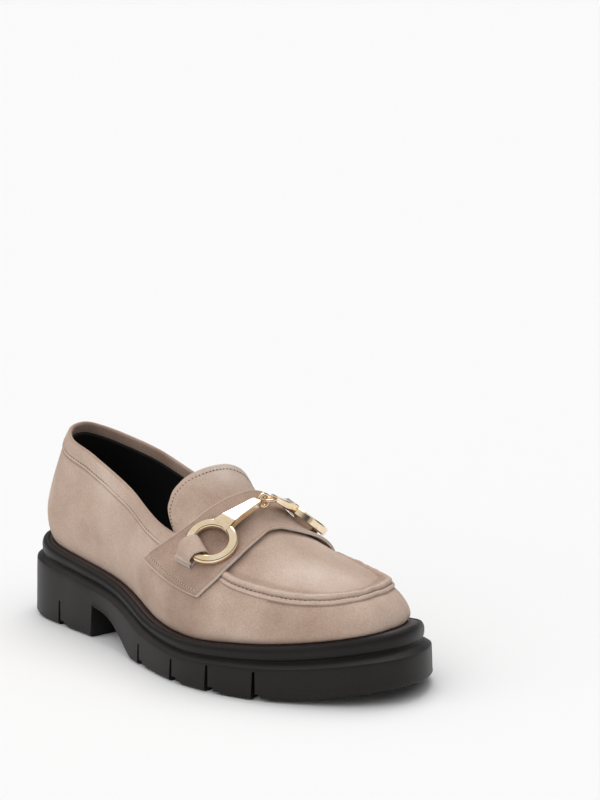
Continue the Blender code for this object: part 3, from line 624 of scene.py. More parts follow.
def grained(name, dark, light, scale, depth, **values):
    """A skin with a grain of its own size, a little lighter on its high spots. A scale of 1000 is a grain of
    1 mm, and the depth of its bump is in metres."""
    material, tree, shader = surface(name, **values)
    place = node(tree, "ShaderNodeTexCoord").outputs["Object"]
    fine = {"Vector": place, "Scale": scale, "Detail": 4.0, "Roughness": 0.6}
    grain = node(tree, "ShaderNodeTexNoise", fine)
    slow = {"Vector": place, "Scale": 60.0, "Detail": 2.0, "Roughness": 0.5}
    drift = node(tree, "ShaderNodeTexNoise", slow)
    both = node(tree, "ShaderNodeMix", {0: 0.5, 2: drift.outputs["Fac"], 3: grain.outputs["Fac"]})
    colour = ramp(tree, both.outputs[0], ((0.3, dark), (0.7, light)))
    tree.links.new(colour, shader.inputs["Base Color"])
    relief = {"Height": grain.outputs["Fac"], "Strength": 0.35, "Distance": depth}
    bump = node(tree, "ShaderNodeBump", relief)
    tree.links.new(bump.outputs["Normal"], shader.inputs["Normal"])
    return material


# Taupe suede as it lies on the quarters and vamp, and its cut edges, where the fibres stand open and paler.
TAUPE = ((0.15, "836b5d"), (0.38, "ab9283"), (0.5, "baa393"), (0.63, "cab6a8"), (0.85, "e0d1c6"))
SUEDE = suede("taupe_suede", TAUPE)
STRAP_SUEDE = suede("darker_strap_suede", TAUPE, -0.11)
LOOP_SUEDE = suede("paler_loop_suede", TAUPE, -0.01)
CUT_EDGE = suede("suede_cut_edge", ((0.3, "b3a396"), (0.5, "cabcb0"), (0.7, "dbd0c6")), 0.0, 1.5)
# Moulded rubber for the sole, satin with a faint bloom.
RUBBER = grained("moulded_black_rubber", "171413", "201c1b", 900.0, 0.0001, Roughness=0.45,
                 Specular_IOR_Level=0.26)
# Smooth brown welt leather with a rubbed grain.
WELT = grained("brown_welt_leather", "2a1e1c", "3d2c29", 700.0, 0.0002, Roughness=0.48)
# Black pigskin lining, soft and nearly without gloss.
LINING = grained("black_lining_leather", "0c0b0b", "131212", 600.0, 0.0001, Roughness=0.7)
# Spun polyester sewing thread: paler on the strap and its loops, close to the suede's colour elsewhere.
# Between its stitches the needle holes are dark capsules, painted shade in the holes.
PALE_THREAD = grained("pale_bar_tack_thread", "b3a598", "d2c6bb", 1200.0, 0.0001, Roughness=0.7)
THREAD_SKIN = grained("taupe_thread", "a89887", "c0b1a1", 1200.0, 0.0001, Roughness=0.7)
HOLE_SHADE = grained("needle_hole_shade", "3a2e28", "4a3b33", 900.0, 0.0001, Roughness=0.9)


def plated_metal():
    """Zinc casting with polished pale gold plating: a clear mirror whose glow wanders a little over the
    casting's waves."""
    material, tree, shader = surface("pale_gold_plating", Metallic=1.0)
    place = node(tree, "ShaderNodeTexCoord").outputs["Object"]
    # The waves are 6 mm long, as on a small casting.
    long = {"Vector": place, "Scale": 160.0, "Detail": 2.0, "Roughness": 0.5}
    waves = node(tree, "ShaderNodeTexNoise", long)
    colour = ramp(tree, waves.outputs["Fac"], ((0.3, "efd4aa"), (0.7, "fae8cd")))
    tree.links.new(colour, shader.inputs["Base Color"])
    rub = node(tree, "ShaderNodeMapRange", {"Value": waves.outputs["Fac"], "To Min": 0.07, "To Max": 0.17})
    tree.links.new(rub.outputs["Result"], shader.inputs["Roughness"])
    relief = {"Height": waves.outputs["Fac"], "Strength": 0.12, "Distance": 0.0003}
    bump = node(tree, "ShaderNodeBump", relief)
    tree.links.new(bump.outputs["Normal"], shader.inputs["Normal"])
    return material


GOLD = plated_metal()


# Sole.
def sole_block():
    """The moulded sole as one closed skin, from the middle of its tread round the side to the seat."""
    breast = turn_at([BREAST_X, BREAST_X + BREAST_LEAN, ARCH_END_X])
    along = np.sort(np.concatenate([np.linspace(0, 1, 170), breast]))
    columns = []
    for side, turns in ((-1, along), (1, along[::-1])):
        x = outline(turns, side)[:, 0]
        bottom = tread_height(x)
        seam, drop = seam_height(turns), ledge_drop(turns)
        # Near heel and toe the middle line is drawn together, so that no row folds over another.
        within = np.where(x < 40, 20 + x / 2, np.where(x > SOLE_LENGTH - 40, (x + SOLE_LENGTH - 40) / 2, x))
        middle = (outline(turn_at(within), -1) + outline(turn_at(within), 1)) / 2
        rim = inset(turns, side, TREAD_RIM + 0 * turns)
        rows = []
        for share in (0.0, 0.5, 1.0):
            rows.append(np.column_stack([middle + (rim - middle) * share, bottom]))
        for away, up in zip(TREAD_EDGE["inset"], TREAD_EDGE["up"]):
            rows.append(np.column_stack([inset(turns, side, away + 0 * turns), bottom + up]))
        end = seam - drop * WALL_END
        for share in (0.15, 0.35, 0.55, 0.75, 0.9, 1.0):
            height = bottom + EDGE_HEIGHT + (end - bottom - EDGE_HEIGHT) * share
            away = -WALL_BULGE * np.clip(1 - height / end, 0, 1) ** 0.7
            rows.append(np.column_stack([inset(turns, side, away), height]))
        wider = 1 + LEDGE_WIDEN * np.clip((x - LEDGE_WIDEN_X) / LEDGE_WIDEN_LENGTH, 0, 1)
        for away, down in zip(SOLE_SIDE["inset"], SOLE_SIDE["drop"]):
            spot = np.minimum(away * wider, SEAT_INSET - 0.15)
            rows.append(np.column_stack([inset(turns, side, spot), seam - drop * down]))
        bed = foot_inset(turns, side) + UPPER_WALL + FOLD_GAP
        rows.append(np.column_stack([inset(turns, side, SEAT_INSET + 0 * turns), seam - SEAT_LIP]))
        rows.append(np.column_stack([inset(turns, side, SEAT_INSET + 0 * turns), seam - SEAT_DROP]))
        edge = inset(turns, side, bed)
        for share in (1.0, 0.5, 0.0):
            rows.append(np.column_stack([middle + (edge - middle) * share, seam - SEAT_DROP]))
        columns.append(np.stack(rows, 1))
    return weld(lay(np.concatenate([columns[0], columns[1][1:]])), 0.02)


def block(corners):
    """A six-sided cutter whose eight corners are given low ring first."""
    shape = bmesh.new()
    bmesh.ops.create_cube(shape, size=1.0)
    order = {(-1, -1): 0, (1, -1): 1, (1, 1): 2, (-1, 1): 3}
    for corner in shape.verts:
        ring = order[(1 if corner.co.x > 0 else -1, 1 if corner.co.y > 0 else -1)]
        corner.co = corners[ring + (4 if corner.co.z > 0 else 0)]
    shape.normal_update()
    bmesh.ops.recalc_face_normals(shape, faces=shape.faces)
    return shape


def groove_cutters():
    """Wedge grooves in the side, and the two small treads stepped into the rear corner of each lug. Each
    cutter starts well outside the sole and below the floor."""
    shapes = [[], [], []]
    for length, side, high in zip(GROOVES["length"], GROOVES["side"], GROOVES["height"]):
        x = length * SOLE_LENGTH
        turn = turn_at(x)
        centre, normal = outline(turn, side), inward(turn, side)
        ahead = np.array([1.0, 0.0]) - normal * normal[0]
        ahead = ahead / np.linalg.norm(ahead)
        tread = float(tread_height(np.asarray(x)))
        cuts = [(-GROOVE_WIDTH / 2, GROOVE_WIDTH / 2, high, GROOVE_DEPTH, WEDGE_FOOT, WEDGE_TOP)]
        cuts += [(0.0, end, tread + up, depth, 1.0, taper) for end, up, depth, taper in STEPS]
        for kind, (start, end, top, depth, foot, taper) in enumerate(cuts):
            ring = []
            for height, narrow in ((-6.0, foot), (top, taper)):
                for along, deep in ((start, -5.0), (end, -5.0), (end, depth), (start, depth)):
                    spot = centre + ahead * along * narrow + normal * deep
                    ring.append(Vector((*spot, height)))
            shapes[kind].append(block(ring))
    return [join(kind) for kind in shapes]


def make_sole():
    sole = set_down(sole_block(), "sole_rubber", "outsole", [RUBBER])
    for shape in groove_cutters():
        mesh = bpy.data.meshes.new("cutter")
        to_frame(shape)
        shape.to_mesh(mesh)
        shape.free()
        cutter = bpy.data.objects.new("cutter", mesh)
        bpy.context.scene.collection.objects.link(cutter)
        cut = sole.modifiers.new("groove", "BOOLEAN")
        cut.operation, cut.solver, cut.object = "DIFFERENCE", "EXACT", cutter
        settle(sole)
        bpy.data.objects.remove(cutter)
    for polygon in sole.data.polygons:
        polygon.use_smooth = True
    sole.data.set_sharp_from_angle(angle=math.radians(32))
    return sole


def make_welt():
    """A strip of brown leather round the foot of the upper, slightly crowned."""
    half = 170
    columns = []
    for side, turns in ((-1, np.linspace(0, 1, half)), (1, np.linspace(1, 0, half))):
        top = seam_height(turns) - SEAT_LIP
        far = foot_inset(turns, side) + UPPER_WALL
        near = SEAT_INSET + GAP - 0.15 + 0 * turns
        rows = []
        for share, down in zip(WELT_SECTION["share"], WELT_SECTION["down"]):
            rows.append(np.column_stack([inset(turns, side, near + (far - near) * share), top - down]))
        columns.append(np.stack(rows, 1))
    shape = weld(lay(np.concatenate([columns[0], columns[1][1:]])), 0.01)
    return set_down(shape, "welt_strip", "welt", [WELT], 50)


def make_sock():
    """The padded sock inside, dished a little under the foot."""
    turns = np.linspace(0, 1, 90)
    edges = [inset(turns, side, foot_inset(turns, side) + UPPER_WALL + FOLD_GAP) for side in (-1, 1)]
    low = seam_height(turns) - SEAT_DROP + FOLD_GAP
    rows = [np.column_stack([edges[0], low])]
    for share in np.linspace(0, 1, 25):
        dish = 0.7 * (1 - (2 * share - 1) ** 4) - 0.5
        rows.append(np.column_stack([edges[0] + (edges[1] - edges[0]) * share, low + INSOLE_THICK - dish]))
    rows.append(np.column_stack([edges[1], low]))
    rows.append(np.column_stack([edges[0], low]))
    shape = weld(lay(np.stack(rows, 1)), 0.01)
    return set_down(shape, "sock_lining", "insole", [LINING], 50)


# Upper.
def wall_ladder(turns, side):
    """Rungs up the wall of every column on one side: where the wall ends, the girths of the rungs and their
    length up the wall. Then where its band starts, the collar's behind and the apron's in front, and how
    wide it is."""
    end = collar_girth(turns, side)
    ladder = np.linspace(0, 1, 150)[None, :] * end[:, None]
    path = last_point(turns[:, None], side, ladder)
    steps = np.linalg.norm(np.diff(path, axis=1), axis=2)
    length = np.concatenate([np.zeros((len(turns), 1)), np.cumsum(steps, axis=1)], axis=1)
    x = length_at(turns)
    front = np.clip((x - THROAT_LOW_X) / (THROAT_TOP_X - THROAT_LOW_X), 0, 1)
    apron = APRON_WALL * curve(APRON["turn"], APRON["outer" if side < 0 else "inner"], turns, level=True)
    foot = (1 - front) * (length[:, -1] - COLLAR_BAND) + front * apron
    band = (1 - front) * COLLAR_BAND + front * APRON_RIDGE
    return end, ladder, length, foot, band


def wall_columns(turns, side):
    """Girths, lifts and tones of the rows of every column on one side, placed by length up the wall. The
    tones are the painted shade and highlights of the apron's roll and the collar band.
    """
    end, ladder, length, foot, band = wall_ladder(turns, side)
    x = length_at(turns)
    ridge = np.clip((x - RIDGE_START_X) / 6, 0, 1)
    collar = np.clip((COLLAR_END_X - x) / 6, 0, 1)
    girths, lifts, seam_shade_tones = [], [], []
    for k in range(len(turns)):
        rest = max(length[k, -1] - foot[k] - band[k], 0.3)
        places = list(np.linspace(0, foot[k], 32)[:-1])
        shares = np.concatenate([np.linspace(0, 0.45, 14)[:-1], np.linspace(0.45, 1.0, 12)])
        places += list(foot[k] + band[k] * shares)
        places += list(foot[k] + band[k] + rest * np.linspace(0, 1, 34)[1:] ** 1.2)
        places = np.clip(places, 0, length[k, -1])
        share = (places - foot[k]) / band[k]
        raised = ridge[k] * curve(RIDGE["share"], RIDGE["raise"], share)
        raised += collar[k] * curve(BAND["share"], BAND["raise"], share)
        row = np.interp(places, length[k], ladder[k])
        row[-1] = end[k]
        girths.append(row)
        lifts.append(raised)
        seam_shade_tones.append(collar[k] * curve(BAND["share"], BAND["shade_and_nap_tone"], share) * (share > -0.1)
                     + ridge[k] * curve(RIDGE["share"], RIDGE["shade_and_nap_tone"], share) * (share > -0.12))
    return np.array(girths), np.array(lifts), end, np.array(seam_shade_tones)


def make_upper():
    """The suede shell: outer skin with the apron's roll and the collar band, the turned collar edge, and the
    facing inside. Over the vamp both sides meet on the top line."""
    half = 230
    columns, closed, tones = [], [], []
    for side, turns in ((-1, np.linspace(0, 1, half)), (1, np.linspace(1, 0, half))):
        girths, lifts, end, band = wall_columns(turns, side)
        skin = last_point(turns[:, None], side, girths)
        shade_and_nap_tone = painted(skin, UPPER_SHADE_AND_NAP_PATCHES)
        fade = np.clip(girths / 0.06, 0, 1) * np.clip((end[:, None] - girths) / 0.04, 0, 1)
        fade = np.where(end[:, None] >= 1, np.clip(girths / 0.06, 0, 1), fade)
        soft = (crease_depth(skin) + ripple(skin, 22.0, 0.35) + ripple(skin, 8.0, 0.12)) * fade
        # The rolled seams are hand-worked and never quite even.
        soft += (ripple(skin, 2.6, 0.32) + ripple(skin, 6.0, 0.3)) * np.clip(lifts / 1.5, 0, 1)
        outer = last_point(turns[:, None], side, girths, lifts + soft)
        outer[:, 0, 2] = seam_height(turns) + GAP / 3
        rolled = []
        raised = lifts[:, -1]
        open_edge = end < 0.9999
        for angle in np.linspace(0, math.pi, ROLL_ROWS + 1)[1:]:
            middle = (raised - UPPER_WALL) / 2
            radius = (raised + UPPER_WALL) / 2
            lift = middle + radius * math.cos(angle)
            grow = np.where(open_edge, 0.011 * math.sin(angle), 0.0)
            rolled.append(last_point(turns, side, np.minimum(end + grow, 1.0), lift))
        inside = []
        for share in np.linspace(0, 1, FACING_ROWS + 1)[1:]:
            inside.append(last_point(turns, side, end * (1 - share), -UPPER_WALL + 0 * turns))
        # The last row meets the first, so that the foot of the wall is closed.
        rows = [outer, np.stack(rolled, 1), np.stack(inside, 1), outer[:, :1]]
        columns.append(np.concatenate(rows, axis=1))
        # The seams' painted shade and highlights (band) are added to the patches' tone. The turned collar
        # edge and the facing inside are drawn darker: painted shade inside the collar.
        collar_inside_shade = np.full((half, ROLL_ROWS + FACING_ROWS), -0.6)
        tones.append(np.concatenate([shade_and_nap_tone + band, collar_inside_shade, shade_and_nap_tone[:, :1]], axis=1))
        closed.append(~open_edge)
    points = np.concatenate([columns[0], columns[1][1:]])
    shut = np.concatenate([closed[0], closed[1][1:]])
    tones = np.concatenate([tones[0], tones[1][1:]])
    first = points.shape[1] - ROLL_ROWS - FACING_ROWS - 2

    def in_shut_roll(column, row):
        return shut[column] and shut[column + 1] and 0 <= row - first < ROLL_ROWS

    shape = weld(lay(points, tones, in_shut_roll), 0.01)
    return set_down(shape, "upper_suede", "upper", [SUEDE])


def make_lining():
    """Black lining leather just inside the wall, from under the facing down to the sole."""
    half, skin_rows = 110, 30
    columns, closed = [], []
    for side, turns in ((-1, np.linspace(0, 1, half)), (1, np.linspace(1, 0, half))):
        end = collar_girth(turns, side)
        ladder = np.linspace(0, 1, 60)[None, :] * end[:, None]
        path = last_point(turns[:, None], side, ladder)
        length = np.linalg.norm(np.diff(path, axis=1), axis=2).sum(1)
        open_edge = end < 0.9999
        stop = np.where(open_edge, end * (1 - FACING_DEPTH / length), 1.0)
        girths = np.linspace(0.0, 1.0, skin_rows)[None, :] * stop[:, None]
        near = last_point(turns[:, None], side, girths, LINING_LIFT + 0 * girths)
        far = last_point(turns[:, None], side, girths, LINING_LIFT - LINING_THICK + 0 * girths)
        columns.append(np.concatenate([near, far[:, ::-1], near[:, :1]], axis=1))
        closed.append(~open_edge)
    shut = np.concatenate([closed[0], closed[1][1:]])
    points = np.concatenate([columns[0], columns[1][1:]])

    def on_top_line(column, row):
        return shut[column] and shut[column + 1] and row == skin_rows - 1

    shape = weld(lay(points, None, on_top_line), 0.05)
    return set_down(shape, "black_lining", "upper", [LINING])


# Sheets that lie over the last: strap and tongue.
def padded_sheet(points, normals, thick, edge_round=0.5, patches=()):
    """A closed sheet of even thickness with softly rounded edges, from its outer face and its normals. The
    faces of its rim get the second material."""
    columns, rows = points.shape[:2]
    from_ends = np.minimum(np.arange(columns)[:, None], np.arange(columns)[::-1, None])
    from_sides = np.minimum(np.arange(rows)[None, :], np.arange(rows)[None, ::-1])
    near = np.minimum(np.minimum(from_ends, from_sides), len(RIM_ROUND) - 1)
    round_off = edge_round * np.array(RIM_ROUND)[near]
    top = points - normals * round_off[..., None]
    low = points - normals * (thick - round_off)[..., None]
    # The tones: the patches' painted light and shade and the nap's own patches, and the rim's pale frayed
    # edge with a darker line inside it.
    tones = painted(points, patches) + np.array(RIM_TONE)[near]
    shape = join([lay(top, tones), lay(low, tones)])
    edges = [e for e in shape.edges if e.is_boundary]
    made = bmesh.ops.bridge_loops(shape, edges=edges)
    for face in made["faces"]:
        face.material_index = 1
    bmesh.ops.recalc_face_normals(shape, faces=shape.faces)
    return shape


def strap_grid(around, along):
    """Turn and girth over the strap: around from -1 to 1 over the foot, along from rear 0 to front 1."""
    rear = curve(STRAP["round"], STRAP["rear"], around)
    front = curve(STRAP["round"], STRAP["front"], around)
    turn = turn_at(SOLE_LENGTH * (rear + (front - rear) * along))
    end = STRAP_END_REAR + (STRAP_END_FRONT - STRAP_END_REAR) * along
    return turn, 1 - (1 - end) * np.abs(around)


def on_last(turn, around, girth, lift):
    """Points and normals over both sides of the foot."""
    outer = around[..., None] < 0
    points = np.where(outer, last_point(turn, -1, girth, lift), last_point(turn, 1, girth, lift))
    normals = np.where(outer, last_normal(turn, -1, girth), last_normal(turn, 1, girth))
    return points, normals


def make_strap():
    around, along = np.meshgrid(np.linspace(-1, 1, 161), np.linspace(0, 1, 49), indexing="ij")
    turn, girth = strap_grid(around, along)
    away = np.abs(around)
    lift = FOLD_GAP + STRAP_THICK + 0 * around
    # The front edge stands a little proud of the vamp, and the seams press the ends down.
    lift = lift + 0.8 * along**8 * (1 - away**6)
    lift = lift - 0.22 * np.exp(-(((away - STRAP_SEAM) / 0.008) ** 2))
    points, normals = on_last(turn, around, girth, lift)
    points = points + normals * (ripple(points, 14.0, 0.3) * (1 - away**8))[..., None]
    shape = padded_sheet(points, normals, STRAP_THICK - 0.05, 0.28, STRAP_SHADE_AND_NAP_PATCHES)
    return set_down(shape, "strap_suede", "saddle_strap", [STRAP_SUEDE, CUT_EDGE], 60)


def tongue_surface(around, along, extra=0.0):
    free = curve(TONGUE["round"], TONGUE["rear"], around)
    flare = curve(TONGUE["round"], TONGUE["flare"], around)
    turn = turn_at(SOLE_LENGTH * (free + (TONGUE_FRONT - free) * along))
    lift = -UPPER_WALL - TONGUE_GAP + flare * (1 - along) ** 6 + extra
    return on_last(turn, around, 1 - TONGUE_REACH * np.abs(around), lift)


def make_tongue():
    around, along = np.meshgrid(np.linspace(-1, 1, 121), np.linspace(0, 1, 61) ** 1.4, indexing="ij")
    points, normals = tongue_surface(around, along)
    points = points + normals * (ripple(points, 16.0, 0.35) * np.clip(1 - along * 2, 0, 1))[..., None]
    shape = padded_sheet(points, normals, TONGUE_THICK, 0.4, TONGUE_SHADE_AND_NAP_PATCHES)
    return set_down(shape, "tongue_suede", "tongue", [SUEDE, CUT_EDGE], 60)


# Bit.
def bit_frame(side):
    """Centre of a ring with its two axes, along the shoe and up over the foot, and its outward axis."""
    turn, base = turn_at(BIT_X), FOLD_GAP + STRAP_THICK
    girth = RING_GIRTH if side < 0 else RING_GIRTH + INNER_RING_RISE
    centre = last_point(turn, side, girth, base + RING_LIFT)
    up = unit(last_point(turn, side, girth + 0.08) - last_point(turn, side, girth - 0.08))
    out = unit(last_normal(turn, side, girth))
    along = unit(np.cross(up, out))
    return centre, along * np.sign(along[0]), up, out


def sweep(centres, wides, thicks, sections, closed=False):
    """A tube whose section is given in its own wide and thick axes at every centre."""
    rings = []
    for centre, wide, thick, section in zip(centres, wides, thicks, sections):
        ring = [centre + wide * u + thick * v for u, v in section]
        rings.append(ring + ring[:1])
    if closed:
        rings.append(rings[0])
    shape = lay(rings)
    bmesh.ops.remove_doubles(shape, verts=shape.verts, dist=0.003)
    if not closed:
        cap(shape)
    bmesh.ops.recalc_face_normals(shape, faces=shape.faces)
    return shape


def bevelled(width, thick, bevel):
    """A flat bar's section with cut corners. Each flat has two more points, so that it stays crisp."""
    a, b = width / 2, thick / 2
    c = min(bevel, a * 0.8, b * 0.8)
    corners = [(a, -b + c), (a, b - c), (a - c, b), (-a + c, b)]
    corners += [(-a, b - c), (-a, -b + c), (-a + c, -b), (a - c, -b)]
    section = []
    for (u, v), (u2, v2) in zip(corners, corners[1:] + corners[:1]):
        section.append((u, v))
        section.append((u * 0.94 + u2 * 0.06, v * 0.94 + v2 * 0.06))
        section.append((u * 0.06 + u2 * 0.94, v * 0.06 + v2 * 0.94))
    return section


def domed(width, thick):
    """Section of a cast ring: rounded all about, a little flat on its faces."""
    angles = np.linspace(0, 2 * np.pi, 24, endpoint=False)
    wide = np.sign(np.cos(angles)) * np.abs(np.cos(angles)) ** 0.72 * width / 2
    high = np.sign(np.sin(angles)) * np.abs(np.sin(angles)) ** 0.72 * thick / 2
    return list(zip(wide, high))


def bit_ring(centre, along, up, out, section):
    """The ring, with its section turned round it."""
    spokes, centres = [], []
    for angle in np.linspace(0, 2 * np.pi, 96, endpoint=False):
        spoke = along * math.cos(angle) * (RING_LONG - RING_DRAWN_IN)
        spoke = spoke + up * math.sin(angle) * (RING_SHORT - RING_DRAWN_IN)
        centres.append(centre + spoke)
        spokes.append(unit(spoke))
    return sweep(centres, spokes, [out] * 96, [section] * 96, True)


def bit_link(eye, inwards, side):
    """The eye at the bar's thin end. The two eyes stand across each other."""
    cross = np.array([0, 0, 1.0]) if side < 0 else np.array([1.0, 0, 0])
    face = unit(np.cross(inwards, cross))
    turns = np.linspace(0, 2 * np.pi, 16, endpoint=False)
    circle = [(math.cos(t) * EYE_WIRE, math.sin(t) * EYE_WIRE) for t in turns]
    turns = np.linspace(0, 2 * np.pi, 48, endpoint=False)
    rounds = [inwards * math.cos(t) + cross * math.sin(t) for t in turns]
    return sweep([eye + s * EYE_RADIUS for s in rounds], rounds, [face] * 48, [circle] * 48, True)


def make_bit_half(name, node_name, side):
    """Half of the bit: its ring, the bar that narrows towards the middle, and the eye."""
    centre, along, up, out = bit_frame(side)
    section = domed(RING_WIDTH, RING_THICK)
    if side > 0:
        # The inner ring leans a little off the strap, and shows a flat broad rim.
        tilt = math.radians(INNER_RING_TILT)
        leaned = up * math.cos(tilt) - out * math.sin(tilt)
        out = out * math.cos(tilt) + up * math.sin(tilt)
        up = leaned
        centre = centre + out * INNER_RING_OFF
        section = bevelled(RING_WIDTH, RING_THICK + INNER_RIM_EXTRA, 0.7)
    ring = bit_ring(centre, along, up, out, section)
    turn, base = turn_at(BIT_X), FOLD_GAP + STRAP_THICK
    inwards = np.array([0.0, -side, 0.0])
    eye = last_point(turn, side, 1.0, base + EYE_LIFT) - inwards * EYE_SHIFT
    last = eye - inwards * (EYE_RADIUS + EYE_WIRE)
    path = [centre + up * (RING_SHORT - RING_WIDTH / 4)]
    girths = np.linspace(0.2, 1, 161)
    skin = last_point(turn, side, girths)
    first_girth, last_girth = (girths[np.argmin(np.linalg.norm(skin - p, axis=1))] for p in (path[0], last))
    for way, lift in zip(BAR_PATH["way"], BAR_PATH["lift"]):
        path.append(last_point(turn, side, first_girth + (last_girth - first_girth) * way, base + lift))
    path += [last, last + inwards * EYE_WIRE * 1.2]
    path = np.array(path)
    shares = np.linspace(0, 1, len(path))
    fine = np.linspace(0, 1, 26)
    smooth = np.stack([curve(shares, path[:, k], fine) for k in range(3)], 1)
    wides, highs, sections = [], [], []
    for k, share in enumerate(fine):
        ahead = unit(smooth[min(k + 1, 25)] - smooth[max(k - 1, 0)])
        wide = unit(along - ahead * np.dot(along, ahead))
        wides.append(wide)
        highs.append(unit(np.cross(wide, ahead)) * side)
        width = BAR_WIDE + (BAR_NARROW - BAR_WIDE) * share**0.8
        width = width + (2.2 - width) * np.clip((share - 0.86) / 0.14, 0, 1) ** 2
        thick = BAR_THICK + (2.0 - BAR_THICK) * share**4
        sections.append(bevelled(width, thick, 0.45))
    bar = sweep(smooth, wides, highs, sections)
    whole = join([ring, bar, bit_link(eye, inwards, side)])
    return set_down(whole, name, node_name, [GOLD], 25)


def loop_spots(side, down, lift, across, hold=0.0):
    """Points of a loop. It leaves the ring on a slant and then hangs more steeply. Across runs from -1 to
    1."""
    down, lift, across, hold = np.broadcast_arrays(down, lift, across, hold)
    centre, along, up, out = bit_frame(side)
    girth = RING_GIRTH if side < 0 else RING_GIRTH + INNER_RING_RISE
    near, far = last_point(turn_at(BIT_X), side, np.array([girth, girth - 0.1]))
    per_girth = np.linalg.norm(near - far) / 0.1
    lean = np.where(down > 0, LOOP_HANG, LOOP_SLANT)
    middle = (LOOP_SLANT + LOOP_HANG) / 2
    wide = across * LOOP_WIDTH / 2 * (0.92 + 0.1 * np.clip(down / 9, 0, 1))
    behind = RING_SHORT * math.sin(LOOP_SLANT) + down * np.sin(lean)
    below = RING_SHORT * math.cos(LOOP_SLANT) + down * np.cos(lean)
    # Lines of one girth already slope down to the toe, so on the strap the tab is turned back a little.
    back = behind + wide * math.cos(LOOP_TURN_BACK)
    drop = below + wide * math.sin(LOOP_TURN_BACK)
    base = FOLD_GAP + STRAP_THICK
    on_strap = last_point(turn_at(BIT_X - back), side, girth - drop / per_girth, base + lift)
    behind = (behind + wide * math.cos(middle))[..., None]
    below = (below - wide * math.sin(middle))[..., None]
    off = (lift - RIM_LIFT)[..., None]
    on_ring = centre - along * behind - up * below + out * off
    return on_strap + (on_ring - on_strap) * hold[..., None]


def make_loop(name, node_name, side):
    """A folded tab. Its section runs under the ring, round it and back, and is swept across its width."""
    knots = np.linspace(0, 1, len(LOOP_FOLD["down"]))
    fine = np.linspace(0, 1, 61)
    fold = np.stack([curve(knots, LOOP_FOLD[k], fine) for k in ("down", "lift")], 1)
    hold = np.clip(curve(knots, LOOP_FOLD["hold"], fine), 0, 1)[None, :]
    ahead = np.gradient(fold, axis=0)
    normal = unit(np.stack([-ahead[:, 1], ahead[:, 0]], 1))[None, :]
    across = np.linspace(-1, 1, 15)[:, None]
    thin = LOOP_THICK / 2 * (1 - 0.3 * np.abs(across) ** 8)[..., None]
    upper, lower = (fold[None, :] + normal * thin * face for face in (1, -1))
    skins = [loop_spots(side, skin[..., 0], skin[..., 1], across, hold) for skin in (upper, lower)]
    shape = lay(np.concatenate([skins[0], skins[1][:, ::-1], skins[0][:, :1]], axis=1))
    bmesh.ops.remove_doubles(shape, verts=shape.verts, dist=0.003)
    cap(shape)
    for face in shape.faces:
        if len(face.verts) > 4:
            face.material_index = 1
    bmesh.ops.recalc_face_normals(shape, faces=shape.faces)
    return set_down(shape, name, node_name, [LOOP_SUEDE, CUT_EDGE], 50)


def make_tack(name, node_name, side):
    """A bar of close stitches that sews the loop down, just above and across its cut end."""
    out = last_normal(turn_at(BIT_X), side, RING_GIRTH)
    across = np.linspace(-0.93, 0.93, 15)[:, None]
    spots = loop_spots(side, np.array(TACK["down"]), np.array(TACK["lift"]), across)
    shape = bmesh.new()
    for row in spots:
        for start, end in zip(row, row[1:]):
            half = np.linalg.norm(end - start) * 0.55
            capsule(shape, (start + end) / 2, end - start, out, half, 0.36)
    return set_down(shape, name, node_name, [PALE_THREAD])


# Stitches.
def capsule(shape, centre, ahead, outward, half, thick, flat=0.8, skin=0):
    """Adds a small rounded thread, or a dark needle hole drawn as painted shade, with its length along ahead.
    """
    ahead = unit(np.asarray(ahead, float))
    outward = unit(outward - ahead * np.dot(outward, ahead))
    turned = Matrix([ahead, np.cross(outward, ahead), outward]).transposed().to_4x4()
    placed = Matrix.Translation(Vector(centre)) @ turned @ Matrix.Diagonal((half, thick, thick * flat, 1.0))
    made = bmesh.ops.create_uvsphere(shape, u_segments=6, v_segments=4, radius=1.0, matrix=placed)
    if skin:
        for corner in made["verts"]:
            for face in corner.link_faces:
                face.material_index = skin


def thread_along(shape, points, normals, pitch=STITCH_PITCH, length=STITCH_LENGTH, thick=THREAD, hole=1.0):
    """Small capsules of thread along a seam, and the needle holes between them as dark capsules of painted
    shade.
    """
    steps = np.linalg.norm(np.diff(points, axis=0), axis=1)
    run = np.concatenate([[0], np.cumsum(steps)])
    at = np.arange(1, 2 * int(run[-1] / pitch)) * pitch / 2
    spots = np.stack([np.interp(at, run, points[:, c]) for c in range(3)], 1)
    aheads = np.stack([np.interp(at + 0.3, run, points[:, c]) for c in range(3)], 1) - spots
    outs = np.stack([np.interp(at, run, normals[:, c]) for c in range(3)], 1)
    for k, (spot, ahead, outward) in enumerate(zip(spots, aheads, outs)):
        if np.linalg.norm(ahead) < 1e-6:
            continue
        if k % 2 == 0:
            capsule(shape, spot, ahead, outward, length / 2, thick)
        else:
            capsule(shape, spot, ahead, outward, thick * 1.1 * hole, thick * 1.2 * hole, 0.4, 1)


def wall_share(turns, side, share_of_band, table):
    """Girth and lift at a share of the band whose section the table gives."""
    ladder, length, foot, band = wall_ladder(turns, side)[1:]
    place = foot + band * share_of_band
    girths = np.array([np.interp(p, row, rungs) for p, row, rungs in zip(place, length, ladder)])
    return girths, 0 * girths + float(curve(table["share"], table["raise"], share_of_band)) + 0.05


